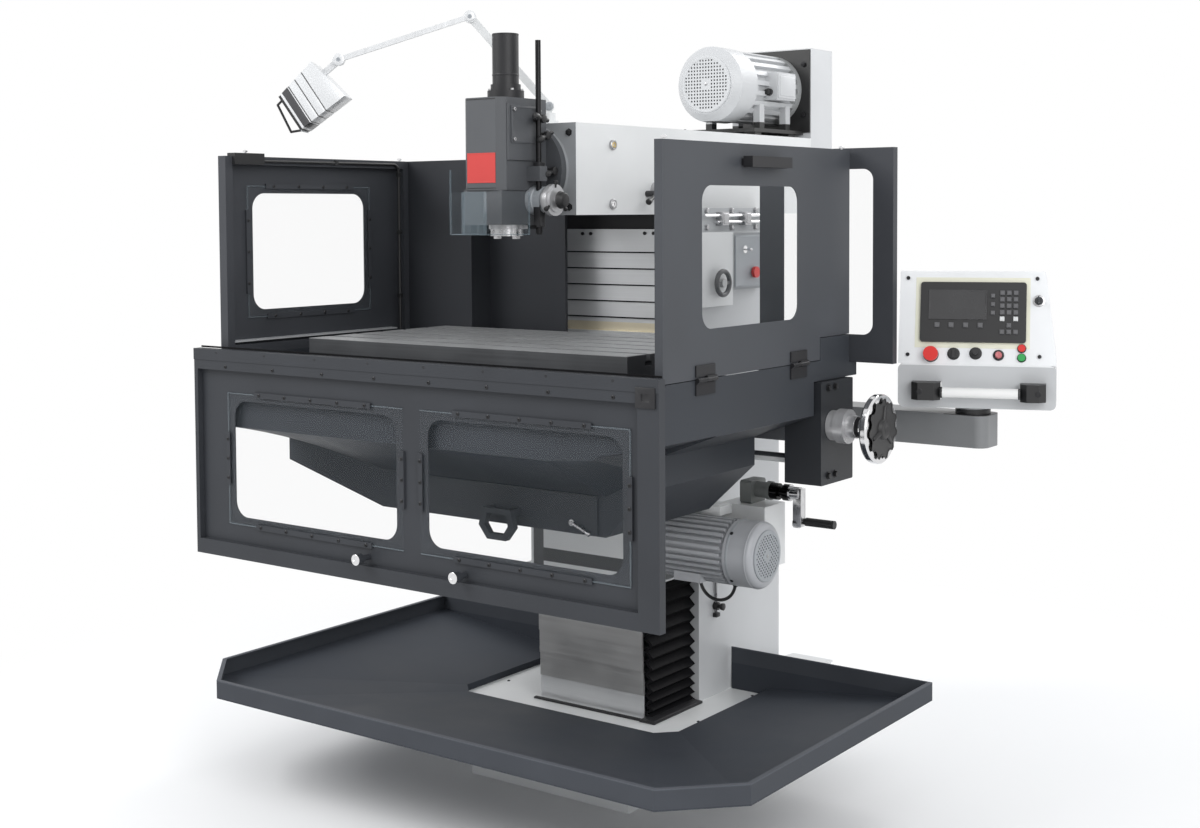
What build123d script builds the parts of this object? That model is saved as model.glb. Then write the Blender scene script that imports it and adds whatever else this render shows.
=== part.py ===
from build123d import *
import os
from math import sin, cos, tan, radians, hypot

os.makedirs("parts", exist_ok=True)

# sheet metal and clearances
sheet = 3
touch_gap = 0.3
run_gap = 0.05

# base, plate and column
foot_x = 283
foot_y = 453
foot_h = 25
anchor_x = 262
anchor_y = 380
anchor_r = 11
plinth_x = 240
plinth_y = 400
plate_x = 400
plate_front = -420
plate_h = 15
tank_x = 430
tank_top = 246
floor_plate_top = 205
column_x = 250
column_front = -41
column_back = 458
column_top = 1600
column_wall = 25
recess_x = 210
way_in = 130
way_out = 190
way_depth = 36
way_low = 320
way_high = 1590

# splash tray
tray_x = 915
tray_front = -1016
tray_back = 136
tray_corner = 162
tray_rim_low = 285
tray_rim_top = 334
tray_hole_x = 385
tray_hole_front = -406
tray_hole_corner = 50
tray_hole_z = 225
tray_hem = 12

# ram guide and ram
guide_x = 240
guide_top = 1651.7
guide_key_x = 60
guide_key_top = 1666
cheek_in = 155
cheek_top = 1670
ram_x = 150
ram_front = -476
ram_back = 821
ram_low = 1652
ram_top = 1905
ram_plate = 24
swivel_z = 1776
swivel_r = 125
swivel_h = 10

# belt housing and spindle motor
belt_depth = 150
lamp_x = 20
lamp_y = -450
lamp_turn = 216.2
base_z = ram_top + 10
lamp_hinge_z = base_z + 40
belt_top = 2209
motor_r = 118
motor_fins = 22
motor_rise = 13
motor_z = ram_top + motor_rise + 34 + motor_r
motor_front = 400

# milling head
head_x = 71
head_front = -722
head_back = -530
head_top = 1967
head_h = 247
head_low = head_top - head_h
nose_block_x = 66
nose_block_front = -717
nose_block_back = -545
nose_block_h = 93
nose_block_low = head_low - nose_block_h
quill_y = -616
quill_r = 50
quill_low = nose_block_low - 12
quill_top = head_top - 107
quill_stroke = 80
spindle_r = 45
spindle_h = 19
stop_rod_x = 100
stop_rod_y = -600
stop_rod_r = 7.5
stop_rod_top = head_top + 155
guard_hinge_x = -100
guard_hinge_y = -618
wheel_y = -580
wheel_r = 43
drawbar_r = 36
drawbar_top = head_top + 177

wheel_z = nose_block_low + 66

# knee
saddle_x = 200
saddle_front = -270
knee_low = 595
knee_top = 1235
knee_back = -45
beam_x = 640
beam_front = -262
beam_back = -135
beam_low = 1045
beam_top = 1195
beam_wall = 15
arm_x = 260
arm_front = -720
arm_low = 1090
arm_top = 1215
cross_y = -200
cross_z = 1088
cross_r = 16
lead_y = -92
lead_r = 16
lead_top = 812
gear_x0 = 665
gear_x1 = 775

# table
table_x = 552
table_front = -830
table_back = -250
table_low = 1240
table_top = 1308
slot_pitch = 100
slot_w = 18
slot_throat = 18
slot_head_w = 30
slot_head_h = 12

# vertical feed
feed_y = -180
feed_z = 705
feed_r = 93
feed_end = 562
crank_x = 487
crank_y = -18
crank_z = 857
crank_drop = 91

# enclosure
pan_x0 = -715
pan_x1 = 761
pan_front = -1005
pan_back = -274
pan_low = 838
pan_top = 1263
pan_slope_y = -760
pan_step_x = 580
left_x = -745
wall_depth = 30
wall_front = -985
wall_top = 1823
rear_y = -239
rear_in_y = -150
rear_step_x = -456
rear_end_x = -157
rail_x0 = column_x + 38
flap_x0 = 739
flap_x1 = 761
flap_back = -75
flap_low = 1265
flap_top = 1825
hinge_x = 768
hinge_z = 1263
pane = 4

# front door
door_x0 = -796
door_x1 = 787
door_front = -1040
door_back = -1016
door_low = 703
door_top = 1283
door_rim = 42
door_skin_y = -1024

# rear sash
sash_x0 = 470
sash_x1 = 884
sash_front = -60
sash_back = -35
sash_low = 1246
sash_top = 1830

# drawer
drawer_x0 = -190
drawer_x1 = 410
drawer_deep = 340
drawer_top = 940

# covers
lath_t = 2.7
lath_pitch = 3
lath_h = 115
low_lath_x0 = -166
low_lath_x1 = 210
low_lath_front = -282
up_lath_x = 228
up_lath_front = -62
up_lath_low = 1538
up_lath_step = 49.5
up_lath_h = 104

# control panel
panel_x = 1012
panel_y = 180
panel_turn = 20
panel_tilt = 15
panel_low = 1118
panel_mid = 1238
panel_top = 1490
swing_x = 300
swing_low = 1008
swing_high = 1098
arm_half = 58


def block(x0, x1, y0, y1, z0, z1):
    return Pos((x0 + x1) / 2, (y0 + y1) / 2, (z0 + z1) / 2) * Box(x1 - x0, y1 - y0, z1 - z0)


def bar_x(x0, x1, y, z, r):
    return Pos((x0 + x1) / 2, y, z) * Rot(0, 90, 0) * Cylinder(r, x1 - x0)


def bar_y(x, y0, y1, z, r):
    return Pos(x, (y0 + y1) / 2, z) * Rot(90, 0, 0) * Cylinder(r, y1 - y0)


def bar_z(x, y, z0, z1, r):
    return Pos(x, y, (z0 + z1) / 2) * Cylinder(r, z1 - z0)


def prism_x(points, x0, x1):
    plane = Plane(origin=(x0, 0, 0), x_dir=(0, 1, 0), z_dir=(1, 0, 0))
    return extrude(plane * Polygon(*points, align=None), x1 - x0, dir=(1, 0, 0))


def prism_y(points, y0, y1):
    plane = Plane(origin=(0, y1, 0), x_dir=(1, 0, 0), z_dir=(0, -1, 0))
    return extrude(plane * Polygon(*points, align=None), y1 - y0, dir=(0, -1, 0))


def prism_z(points, z0, z1):
    return extrude(Plane.XY.offset(z0) * Polygon(*points, align=None), z1 - z0, dir=(0, 0, 1))


def window_x(x0, x1, y0, y1, z0, z1, r):
    plane = Plane(origin=(x0, (y0 + y1) / 2, (z0 + z1) / 2), x_dir=(0, 1, 0), z_dir=(1, 0, 0))
    return extrude(plane * RectangleRounded(y1 - y0, z1 - z0, r), x1 - x0, dir=(1, 0, 0))


def window_y(x0, x1, y0, y1, z0, z1, r):
    plane = Plane(origin=((x0 + x1) / 2, y1, (z0 + z1) / 2), x_dir=(1, 0, 0), z_dir=(0, -1, 0))
    return extrude(plane * RectangleRounded(x1 - x0, z1 - z0, r), y1 - y0, dir=(0, -1, 0))


def mirrored(shape):
    return shape + mirror(shape, Plane.YZ)


def rib_ring(r_out, r_in, count, length, fill=0.45):
    points = []
    for i in range(count):
        for r, part in ((r_in, 0.0), (r_out, 0.0), (r_out, fill), (r_in, fill)):
            a = radians(360 * (i + part) / count)
            points.append((r * cos(a), r * sin(a)))
    return extrude(Polygon(*points, align=None), length, dir=(0, 0, 1))


def save(shape, name):
    export_step(shape, "parts/" + name + ".step")


# machine base: foot, pedestal, floor plate and the coolant reservoir beside it
base = block(-foot_x, foot_x, -foot_y, foot_y, 0, foot_h)
base += block(-plinth_x, plinth_x, -plinth_y, plinth_y, 0, floor_plate_top - plate_h)
base += block(-plate_x, plate_x, plate_front, column_back, floor_plate_top - plate_h, floor_plate_top)
base += block(foot_x - 10, tank_x - 4, 150, foot_y, 0, tank_top - 6)
base += block(foot_x + 4, tank_x, 146, foot_y + 4, tank_top - 6, tank_top)
for sx in (-1, 1):
    for sy in (-1, 1):
        base -= bar_z(sx * anchor_x, sy * anchor_y, -1, foot_h + 1, anchor_r)
save(base, "machine_base")


# splash tray: sloping floor, standing rim, lip round the opening
def tray_outline(half, front, back, corner, grow=0.0):
    c = corner + grow * 0.586
    h = half + grow
    f = front - grow
    return [(-h + c, f), (h - c, f), (h, f + c), (h, back), (-h, back), (-h, f + c)]


tray_out = tray_outline(tray_x, tray_front, tray_back, tray_corner)
tray_in = tray_outline(tray_hole_x, tray_hole_front, tray_back, tray_hole_corner)
upper = Plane.XY.offset(tray_rim_low) * Polygon(*tray_out, align=None)
lower = Plane.XY.offset(tray_hole_z) * Polygon(*tray_in, align=None)
funnel = loft([lower, upper], ruled=True)
tray = Pos(0, 0, -sheet) * funnel + prism_z(tray_out, tray_rim_low - sheet, tray_rim_low)
tray -= funnel + prism_z(tray_out, tray_rim_low, tray_rim_top)
tray -= prism_z(tray_in, floor_plate_top - 10, tray_rim_top)
rim_hole = tray_outline(tray_x, tray_front, tray_back + 50, tray_corner, -sheet)
rim = prism_z(tray_out, tray_rim_low - sheet, tray_rim_top) - prism_z(rim_hole, 0, 500)
hem_hole = tray_outline(tray_x, tray_front, tray_back + 50, tray_corner, -tray_hem)
rim += prism_z(tray_out, tray_rim_top - sheet, tray_rim_top) - prism_z(hem_hole, 0, 500)
tray += rim
tray_lip = tray_outline(tray_hole_x, tray_hole_front, tray_back, tray_hole_corner, sheet)
tray += prism_z(tray_lip, floor_plate_top, tray_hole_z) - prism_z(
    tray_outline(tray_hole_x, tray_hole_front, tray_back + 50, tray_hole_corner), 0, 500)
wall_in = column_x + 6
tray_wall = prism_y([(wall_in, floor_plate_top), (tray_hole_x + sheet, floor_plate_top),
                     (tray_hole_x + sheet, tray_hole_z), (tray_x, tray_rim_low - sheet),
                     (tray_x, tray_rim_top), (wall_in, tray_rim_top)], tray_back - sheet, tray_back)
tray += mirrored(tray_wall)
save(tray, "coolant_tray")

# column with two ways in a recess of its front
column = block(-column_x, column_x, column_front, column_back, floor_plate_top, column_top)
column = fillet(column.edges().filter_by(Axis.Z).group_by(Axis.Y)[-1], 35)
column -= block(-recess_x, recess_x, column_front - 1, 0, floor_plate_top - 1, column_top + 1)
column -= block(-column_x + column_wall, column_x - column_wall, column_wall,
                column_back - column_wall, floor_plate_top - 1, column_top - column_wall)
column += mirrored(block(way_in, way_out, -way_depth, 0, way_low, way_high))
save(column, "column")

# ram guide on the column: key in the middle, cheeks beside the ram
guide = block(-guide_x, guide_x, column_front, column_back, column_top, guide_top)
guide += block(-guide_key_x, guide_key_x, column_front, column_back, guide_top - 1, guide_key_top)
guide += mirrored(block(cheek_in, guide_x, column_front, column_back, guide_top - 1, cheek_top))
save(guide, "ram_guide")

# vertical lead screw
save(bar_z(0, lead_y, floor_plate_top, lead_top, lead_r), "z_screw")

# gear cover and control box on the column side
side = block(column_x, column_x + 30, -77, 105, 1380, 1598)
side += block(column_x, column_x + 32, 105, 294, 1425, 1595)
button_y = 216
button_z = 1475
side -= bar_x(column_x + 20, column_x + 40, button_y, button_z, 8.4)
lug_x = swing_x + 16
lugs = block(column_x, column_x + 4, panel_y - 60, panel_y + 60, swing_low - 22, swing_high + 22)
lugs += block(column_x, lug_x, panel_y - 30, panel_y + 30, swing_low - 16, swing_low - touch_gap)
lugs += block(column_x, lug_x, panel_y - 30, panel_y + 30, swing_high + touch_gap, swing_high + 16)
side = Compound(children=[side, lugs])
save(side, "side_controls")
ring_y = 21
ring_z = 1449
side_face = column_x + 30
ring = bar_x(side_face, side_face + 24, ring_y, ring_z, 13)
ring += Pos(side_face + 18, ring_y, ring_z) * Rot(0, 90, 0) * Torus(35, 7)
ring += block(side_face + 14, side_face + 22, ring_y - 35, ring_y + 35, ring_z - 5, ring_z + 5)
save(ring, "side_ring")
save(bar_x(column_x + 26, column_x + 38, button_y, button_z, 8)
     + bar_x(column_x + 38, column_x + 48, button_y, button_z, 17), "side_button")

# side bellows: a folded band on each side of the lower cover
folds = 24
fold_out = 239
fold_in = 220
fold_top = knee_low
fold_points = []
for i in range(folds + 1):
    share = (i / folds) ** 1.25
    fold_points.append((floor_plate_top + (fold_top - floor_plate_top) * share, fold_out if i % 2 else fold_in))
outer_line = [(x, z) for z, x in fold_points]
inner_line = [(x - 12, z) for z, x in reversed(fold_points)]
bellows = prism_y(outer_line + inner_line, low_lath_front + 15, knee_back)
left_shift = fold_out + low_lath_x0 - 2
bellows += Pos(left_shift, 0, 0) * mirror(bellows, Plane.YZ)
save(bellows, "side_bellows")


# cover laths: bottom ones fixed, middle ones moving, top ones on the knee
def low_lath(k):
    y = low_lath_front + lath_pitch * (4 - k)
    z = floor_plate_top + (knee_low - lath_h - floor_plate_top) * k / 4
    return block(low_lath_x0, low_lath_x1, y, y + lath_t, z, z + lath_h)


def up_lath(k):
    y = up_lath_front + lath_pitch * k
    z = up_lath_low - up_lath_step * k
    return block(-up_lath_x, up_lath_x, y, y + lath_t, z, z + up_lath_h)


fixed = low_lath(0) + block(low_lath_x0, low_lath_x1, low_lath_front + 12, low_lath_front + 13.9,
                            floor_plate_top, floor_plate_top + 6)
top_lath = block(-guide_x, guide_x, up_lath_front, up_lath_front + lath_t, up_lath_low, column_top + 8)
top_lath += mirrored(block(up_lath_x + 1, guide_x, up_lath_front, column_front, up_lath_low + 8, column_top))
save(Compound(children=[fixed, top_lath]), "fixed_laths")
for k in (1, 2, 3):
    save(low_lath(k), "lower_lath_%d" % k)
for k in (1, 2, 3, 4):
    save(up_lath(k), "upper_lath_%d" % k)
knee_lath = low_lath(4)
knee_top_lath = block(-up_lath_x, up_lath_x, -75, knee_back, knee_top, knee_top + 65)
knee_lath_y = up_lath_front + lath_pitch * 5
knee_top_lath += block(-up_lath_x, up_lath_x, knee_lath_y, knee_lath_y + lath_t, knee_top, 1400)
save(Compound(children=[knee_lath, knee_top_lath]), "knee_laths")

# knee casting: saddle, rear part with pads, screw beam, table arm, gear arm
knee = block(-242, 242, low_lath_front - 3, knee_back, knee_low, knee_low + 5)
knee += block(-saddle_x, saddle_x, saddle_front, knee_back, knee_low, beam_low)
knee += block(-saddle_x, saddle_x, beam_back, knee_back, beam_low - 1, knee_top)
knee += mirrored(block(way_in - 2, way_out + 2, knee_back - 1, -way_depth - touch_gap, 620, knee_top))
knee += block(-way_in + touch_gap, way_in - touch_gap, knee_back - 1, -5, 620, knee_top)
knee += block(-beam_x, gear_x0, beam_front, beam_back, beam_low, beam_top)
knee += bar_x(saddle_x - 1, gear_x0, cross_y, 988, 13)
knee += block(-arm_x, arm_x, arm_front, beam_front + 1, arm_low, arm_top)
for y0, y1 in ((-640, -570), (-430, -360)):
    knee += block(-arm_x, arm_x, y0, y1, arm_top - 1, table_low)
knee += block(saddle_x - 1, 500, -84, -46, 640, 790)
knee += prism_y([(262, 640), (500, 640), (500, 819), (350, 819), (313, 784), (262, 784)], -84, 32)
knee -= block(-beam_x + beam_wall, gear_x0 - beam_wall, beam_front + beam_wall, beam_back - beam_wall,
              beam_low + beam_wall, beam_top + 1)
knee -= bar_z(0, lead_y, knee_low - 1, 1075, lead_r + 6)
knee -= bar_x(-beam_x + 6, gear_x0 + 1, cross_y, cross_z, cross_r + run_gap)
save(knee, "knee")

# cross screw, feed gearbox and handwheel
save(bar_x(-beam_x + 8, gear_x1 + 8, cross_y, cross_z, cross_r)
     + bar_x(gear_x1 + 1, 800, cross_y, cross_z, 40)
     + bar_x(799, 828, cross_y, cross_z, 46)
     + bar_x(827, 852, cross_y, cross_z, 30), "x_screw")
gearbox = block(gear_x0, gear_x1, -260, -80, 931, 1207)
gearbox = chamfer(gearbox.edges().filter_by(Axis.X), 3)
gearbox -= bar_x(gear_x0 - 1, gear_x1 + 1, cross_y, cross_z, cross_r + run_gap)
save(gearbox, "x_gearbox")
wheel_x = 900
wheel_rim = 92
handwheel = bar_x(wheel_x, wheel_x + 22, cross_y, cross_z, wheel_rim)
handwheel = fillet(handwheel.edges(), 6)
handwheel -= bar_x(wheel_x - 1, wheel_x + 23, cross_y, cross_z, 70)
handwheel += bar_x(wheel_x + 6, wheel_x + 14, cross_y, cross_z, 71)
handwheel += bar_x(852, wheel_x + 26, cross_y, cross_z, 27)
save(handwheel, "x_handwheel")

# table with T-slots and the nut bracket under it
table = block(-table_x, table_x, table_front, table_back, table_low, table_top)
slot_mid = (table_front + table_back) / 2
for k in range(-2, 3):
    y = slot_mid + slot_pitch * k
    table -= block(-table_x - 1, table_x + 1, y - slot_w / 2, y + slot_w / 2,
                   table_top - slot_throat, table_top + 1)
    table -= block(-table_x - 1, table_x + 1, y - slot_head_w / 2, y + slot_head_w / 2,
                   table_top - slot_throat - slot_head_h, table_top - slot_throat)
table += block(-500, 500, -570 + touch_gap, -430 - touch_gap, arm_top + 2, table_low + 1)
table += block(-50, 50, -330, -160, arm_top + 2, table_low + 1)
table += block(-50, 50, -235, -165, beam_low + beam_wall + 2, table_low)
table -= bar_x(-60, 60, cross_y, cross_z, cross_r + run_gap + 0.3)
save(table, "table")

# vertical feed motor, finned with a fan cover
motor = bar_x(saddle_x, 246, feed_y, feed_z, 60)
motor += bar_x(245, 256, feed_y, feed_z, feed_r - 4)
motor += bar_x(250, 480, feed_y, feed_z, feed_r - 12)
motor += Pos(262, feed_y, feed_z) * Rot(0, 90, 0) * rib_ring(feed_r, feed_r - 14, 30, 200)
motor += bar_x(474, feed_end - 14, feed_y, feed_z, feed_r)
motor += Pos(feed_end - 7, feed_y, feed_z) * Rot(0, 90, 0) * Cone(feed_r, feed_r - 22, 14)
motor += block(300, 390, -250, -110, feed_z - 86, feed_z - 60)
save(motor, "z_motor")

# crank gearbox on the gear arm, hand crank and its grip
crank_box_z = 819
crank_box = block(crank_x - 86, crank_x - 49, crank_y - 38, crank_y + 46, crank_box_z, crank_z + 28)
crank_box = chamfer(crank_box.edges().filter_by(Axis.X), 6)
crank_box += bar_x(crank_x - 50, crank_x - 13, crank_y, crank_z, 23)
crank_box += bar_x(crank_x - 13, crank_x - touch_gap, crank_y, crank_z, 27)
save(crank_box, "crank_gearbox")
crank_arm_x = crank_x + 73
grip_x = crank_arm_x + 29
grip_z = crank_z - crank_drop + 13
crank = bar_x(crank_x, crank_x + 24, crank_y, crank_z, 24)
crank += bar_x(crank_x + 23, crank_x + 42, crank_y, crank_z, 15)
crank += bar_x(crank_x + 41, crank_x + 62, crank_y, crank_z, 24)
crank += bar_x(crank_x + 61, crank_arm_x + 19, crank_y, crank_z, 19)
crank += block(crank_arm_x, crank_arm_x + 16, crank_y - 11, crank_y + 11, crank_z - crank_drop, crank_z)
crank += bar_x(crank_arm_x, crank_arm_x + 16, crank_y, crank_z - crank_drop + 6, 14)
crank += bar_x(crank_arm_x + 14, grip_x, crank_y, grip_z, 5)
save(crank, "z_crank")
save(bar_x(grip_x, grip_x + 10, crank_y, grip_z, 9) + bar_x(grip_x + 9, grip_x + 99, crank_y, grip_z, 12), "crank_grip")


# chip pan: sloping sheet hopper, lofted in three lengths
def pan_section(x, crease1, crease2, low, t):
    points = [(pan_front + t, 1300 if t else pan_top), (pan_front + t, crease1 + t * 0.2),
              (pan_slope_y + t, crease2 + t * 0.2), (pan_slope_y + t, low + t),
              (pan_back - t, low + t), (pan_back - t, 1300 if t else pan_top)]
    plane = Plane(origin=(x, 0, 0), x_dir=(0, 1, 0), z_dir=(1, 0, 0))
    return plane * Polygon(*points, align=None)


def pan_body(t):
    left = pan_section(pan_x0 + t, 1065, 1013, 939, t)
    mid0 = pan_section(-339, 1065, 943, pan_low, t)
    mid1 = pan_section(434, 1065, 943, pan_low, t)
    deep = pan_section(pan_step_x - t, 1078, 1012, 974, t)
    high = pan_section(pan_step_x - t, 1085, 1068, 1050, t)
    right = pan_section(pan_x1 - t, 1124, 1122, 1120, t)
    body = loft([left, mid0], ruled=True) + loft([mid0, mid1], ruled=True)
    return body + loft([mid1, deep], ruled=True) + loft([high, right], ruled=True)


pan = pan_body(0) - pan_body(sheet)
pan -= block(-arm_x - 3, arm_x + 3, pan_back - 10, pan_back + 10, arm_low - 3, 1400)
pan -= block(drawer_x0 + 10, drawer_x1 - 10, pan_slope_y - 5, pan_slope_y + 5,
             pan_low + sheet, drawer_top - 3)
pan -= block(pan_x0 + 12, pan_x1 - 24, pan_back - 5, pan_back + 5, 1208, 1400)
pan += block(left_x, pan_x0 + sheet, wall_front, rear_y, 1250, pan_top)
post_y = door_back + touch_gap
pan += block(left_x, pan_x0, post_y, wall_front, 1050, pan_top)
pan += block(pan_x1 - 16, pan_x1 + 16, post_y, wall_front, 1128, pan_top)
pan += block(flap_x0, flap_x1, pan_back - sheet, flap_back, 1209, pan_top)
pan += block(flap_x0, flap_x1, rear_y, flap_back - 2, pan_top - 1, 1323)
pan += block(rail_x0, flap_x1, flap_back - 1, sash_back + sheet + touch_gap, 1209, sash_low - touch_gap)
pan += block(rail_x0, flap_x0 + 1, sash_front - sheet - touch_gap, sash_front - touch_gap,
             sash_low - 2, sash_low + 24)
pan += block(rail_x0, flap_x0 + 1, sash_back + touch_gap, sash_back + sheet + touch_gap,
             sash_low - 8, sash_low + 10)
for y0 in (-851, -401):
    pan += block(pan_x1, pan_x1 + 4, y0, y0 + 84, 1227, hinge_z - 7)
    pan += bar_y(hinge_x, y0, y0 + 41.7, hinge_z, 5.5)
    pan += bar_y(hinge_x, y0 + 41, y0 + 84, hinge_z, 3)
    pan += block(pan_x1, hinge_x, y0, y0 + 40, hinge_z - 9, hinge_z - 3)
save(pan, "chip_pan")

# chip drawer with a D-shaped handle
drawer = block(drawer_x0, drawer_x1, pan_slope_y - 4.3, pan_slope_y - touch_gap, pan_low + 1.5, drawer_top + 1)
drawer_box = block(drawer_x0 + 12, drawer_x1 - 12, pan_slope_y - 2, pan_slope_y + drawer_deep,
                   pan_low + sheet + touch_gap, drawer_top - 6)
drawer_box -= block(drawer_x0 + 14, drawer_x1 - 14, pan_slope_y, pan_slope_y + drawer_deep - 2,
                    pan_low + sheet + 3, drawer_top)
drawer += drawer_box
handle = prism_y([(52, 838), (80, 803), (143, 803), (171, 838), (160, 886), (63, 886)], -806, -788)
handle -= prism_y([(72, 842), (88, 819), (135, 819), (151, 842), (143, 872), (80, 872)], -807, -787)
drawer += handle
drawer += block(63, 78, -790, pan_slope_y - 2, 866, 886) + block(145, 160, -790, pan_slope_y - 2, 866, 886)
drawer += block(325, 367, pan_slope_y - 9, pan_slope_y - 4, 840, 862)
save(drawer, "chip_drawer")


# clamp strips that hold a pane on a wall
def strips_x(x_wall, out, y0, y1, z0, z1, short=70):
    body = None
    xa = x_wall + out * (pane + 0.2)
    xb = x_wall + out * (pane + 2.2)
    for a0, a1, b0, b1, foot in ((y0 + short, y1 - short, z0 - 6, z0 + 9, "low"),
                                 (y0 + short, y1 - short, z1 - 9, z1 + 6, "high"),
                                 (y0 - 6, y0 + 9, z0 + short, z1 - short, "front"),
                                 (y1 - 9, y1 + 6, z0 + short, z1 - short, "back")):
        strip = block(min(xa, xb), max(xa, xb), a0, a1, b0, b1)
        f = {"low": (a0, a1, b0, z0 - 0.3), "high": (a0, a1, z1 + 0.3, b1),
             "front": (a0, y0 - 0.3, b0, b1), "back": (y1 + 0.3, a1, b0, b1)}[foot]
        strip += block(min(x_wall, xb), max(x_wall, xb), *f)
        body = strip if body is None else body + strip
    return body


def strips_y(y_wall, out, x0, x1, z0, z1, short=70):
    body = None
    ya = y_wall + out * (pane + 0.2)
    yb = y_wall + out * (pane + 2.2)
    for a0, a1, b0, b1, foot in ((x0 + short, x1 - short, z0 - 6, z0 + 9, "low"),
                                 (x0 + short, x1 - short, z1 - 9, z1 + 6, "high"),
                                 (x0 - 6, x0 + 9, z0 + short, z1 - short, "front"),
                                 (x1 - 9, x1 + 6, z0 + short, z1 - short, "back")):
        strip = block(a0, a1, min(ya, yb), max(ya, yb), b0, b1)
        f = {"low": (a0, a1, b0, z0 - 0.3), "high": (a0, a1, z1 + 0.3, b1),
             "front": (a0, x0 - 0.3, b0, b1), "back": (x1 + 0.3, a1, b0, b1)}[foot]
        strip += block(f[0], f[1], min(y_wall, yb), max(y_wall, yb), f[2], f[3])
        body = strip if body is None else body + strip
    return body


# left wall: folded frame with a window
left_in = left_x + wall_depth
left_wall = block(left_x, left_in, wall_front, rear_y, pan_top, wall_top)
left_wall -= block(left_x + sheet, left_in + 1, wall_front + 26, rear_y - 22, pan_top + 26, wall_top - 24)
left_wall -= window_x(left_x - 1, left_in, -864, -412, 1383, 1719, 45)
left_wall += block(left_x + sheet - 1, left_in, wall_front + 28, -296, 1296, 1300)
left_wall += strips_x(left_x + sheet, 1, -886, -390, 1361, 1741)
save(left_wall, "left_wall")
save(block(left_x + sheet + touch_gap, left_x + sheet + pane, -886, -390, 1361, 1741), "left_pane")

# rear wall: folded sheet standing on the screw beam
rear = block(left_x, rear_step_x + sheet, rear_y, rear_y + sheet, beam_top, wall_top)
rear += block(rear_step_x, rear_step_x + sheet, rear_y, rear_in_y + sheet, beam_top, wall_top)
rear += block(rear_step_x, rear_end_x, rear_in_y, rear_in_y + sheet, beam_top, wall_top)
rear += block(rear_end_x - sheet, rear_end_x, rear_in_y, rear_in_y + 12, beam_top, wall_top)
rear += block(left_x, rear_step_x + sheet, rear_y, rear_y + 20, wall_top - sheet, wall_top)
save(rear, "rear_wall")

# switch box on the left wall with its cable
box_top = wall_top + 9
switch_box = block(left_in - 20, left_in + 12, -960, -850, 1800, box_top)
switch_box -= block(left_in - 21, left_in, -961, -849, 1799, wall_top)
cable_x = left_in + 5
cable_r = 4.5
cable_y = rear_y - 48
route = FilletPolyline((cable_x, -852, 1810), (cable_x, cable_y, 1812), (cable_x, cable_y, 1290), radius=25)
cable = sweep(Plane(origin=route @ 0, z_dir=route % 0) * Circle(cable_r), path=route)
switch_box += cable
for y0, z0 in ((-560, 1812), (cable_y, 1800 - 20), (cable_y, 1600), (cable_y, 1400)):
    if y0 == cable_y:
        switch_box += block(left_in, cable_x + 5, y0 - 7, y0 + 7, z0 - 6, z0 + 6)
    else:
        switch_box += block(left_in, cable_x + 5, y0 - 6, y0 + 6, z0 - 7, z0 + 7)
save(switch_box, "interlock_cable")

# right flap, hinged below, with a pull handle
flap = block(flap_x0, flap_x1, wall_front - 1, flap_back, flap_low, flap_top)
flap -= block(flap_x0 - 1, flap_x1 - sheet, wall_front + 25, flap_back - 25, 1345, flap_top - 24)
flap -= block(flap_x0 - 1, flap_x1 - sheet, wall_front + 25, rear_y - 28, flap_low + 24, 1346)
flap -= block(flap_x0 - 1, flap_x1 + 1, rear_y - 2, flap_back + 1, flap_low - 1, 1325)
flap -= window_x(flap_x0 - 1, flap_x1 + 1, -819, -360, 1381, 1722, 40)
flap += strips_x(flap_x1 - sheet, -1, -840, -340, 1360, 1743)
for y0 in (-851, -401):
    flap += block(flap_x1 - 1, flap_x1 + 4, y0, y0 + 84, flap_low + 6, 1298)
    flap += bar_y(hinge_x, y0 + 42, y0 + 84, hinge_z, 5.5)
    flap += block(flap_x1, hinge_x, y0 + 42, y0 + 84, flap_low + 1, flap_low + 7)
    flap += block(hinge_x - 6, hinge_x + 2, y0 + 42, y0 + 84, hinge_z, flap_low + 7)
    flap -= bar_y(hinge_x, y0 + 41, y0 + 85, hinge_z, 3 + run_gap)
flap += block(flap_x1 - 1, flap_x1 + 12, -640, -625, 1772, 1788)
flap += block(flap_x1 - 1, flap_x1 + 12, -475, -460, 1772, 1788)
flap += block(flap_x1 + 10, flap_x1 + 36, -647, -453, 1767, 1794)
flap -= block(flap_x1 + 14, flap_x1 + 32, -630, -470, 1760, 1785)
save(flap, "flap")
save(block(flap_x1 - sheet - pane, flap_x1 - sheet - touch_gap, -840, -340, 1360, 1743), "flap_pane")

# rear sash sliding along the rear rail
sash = block(sash_x0, sash_x1, sash_front, sash_back, sash_low, sash_top)
sash -= block(sash_x0 + 24, sash_x1 - 24, sash_front + sheet, sash_back + 1, sash_low + 24, sash_top - 24)
sash -= window_y(548, 824, sash_front - 1, sash_back, 1322, 1773, 30)
sash += strips_y(sash_front + sheet, 1, 532, 840, 1306, 1789)
save(sash, "rear_sash")
save(block(532, 840, sash_front + sheet + touch_gap, sash_front + sheet + pane, 1306, 1789), "sash_pane")

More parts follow.
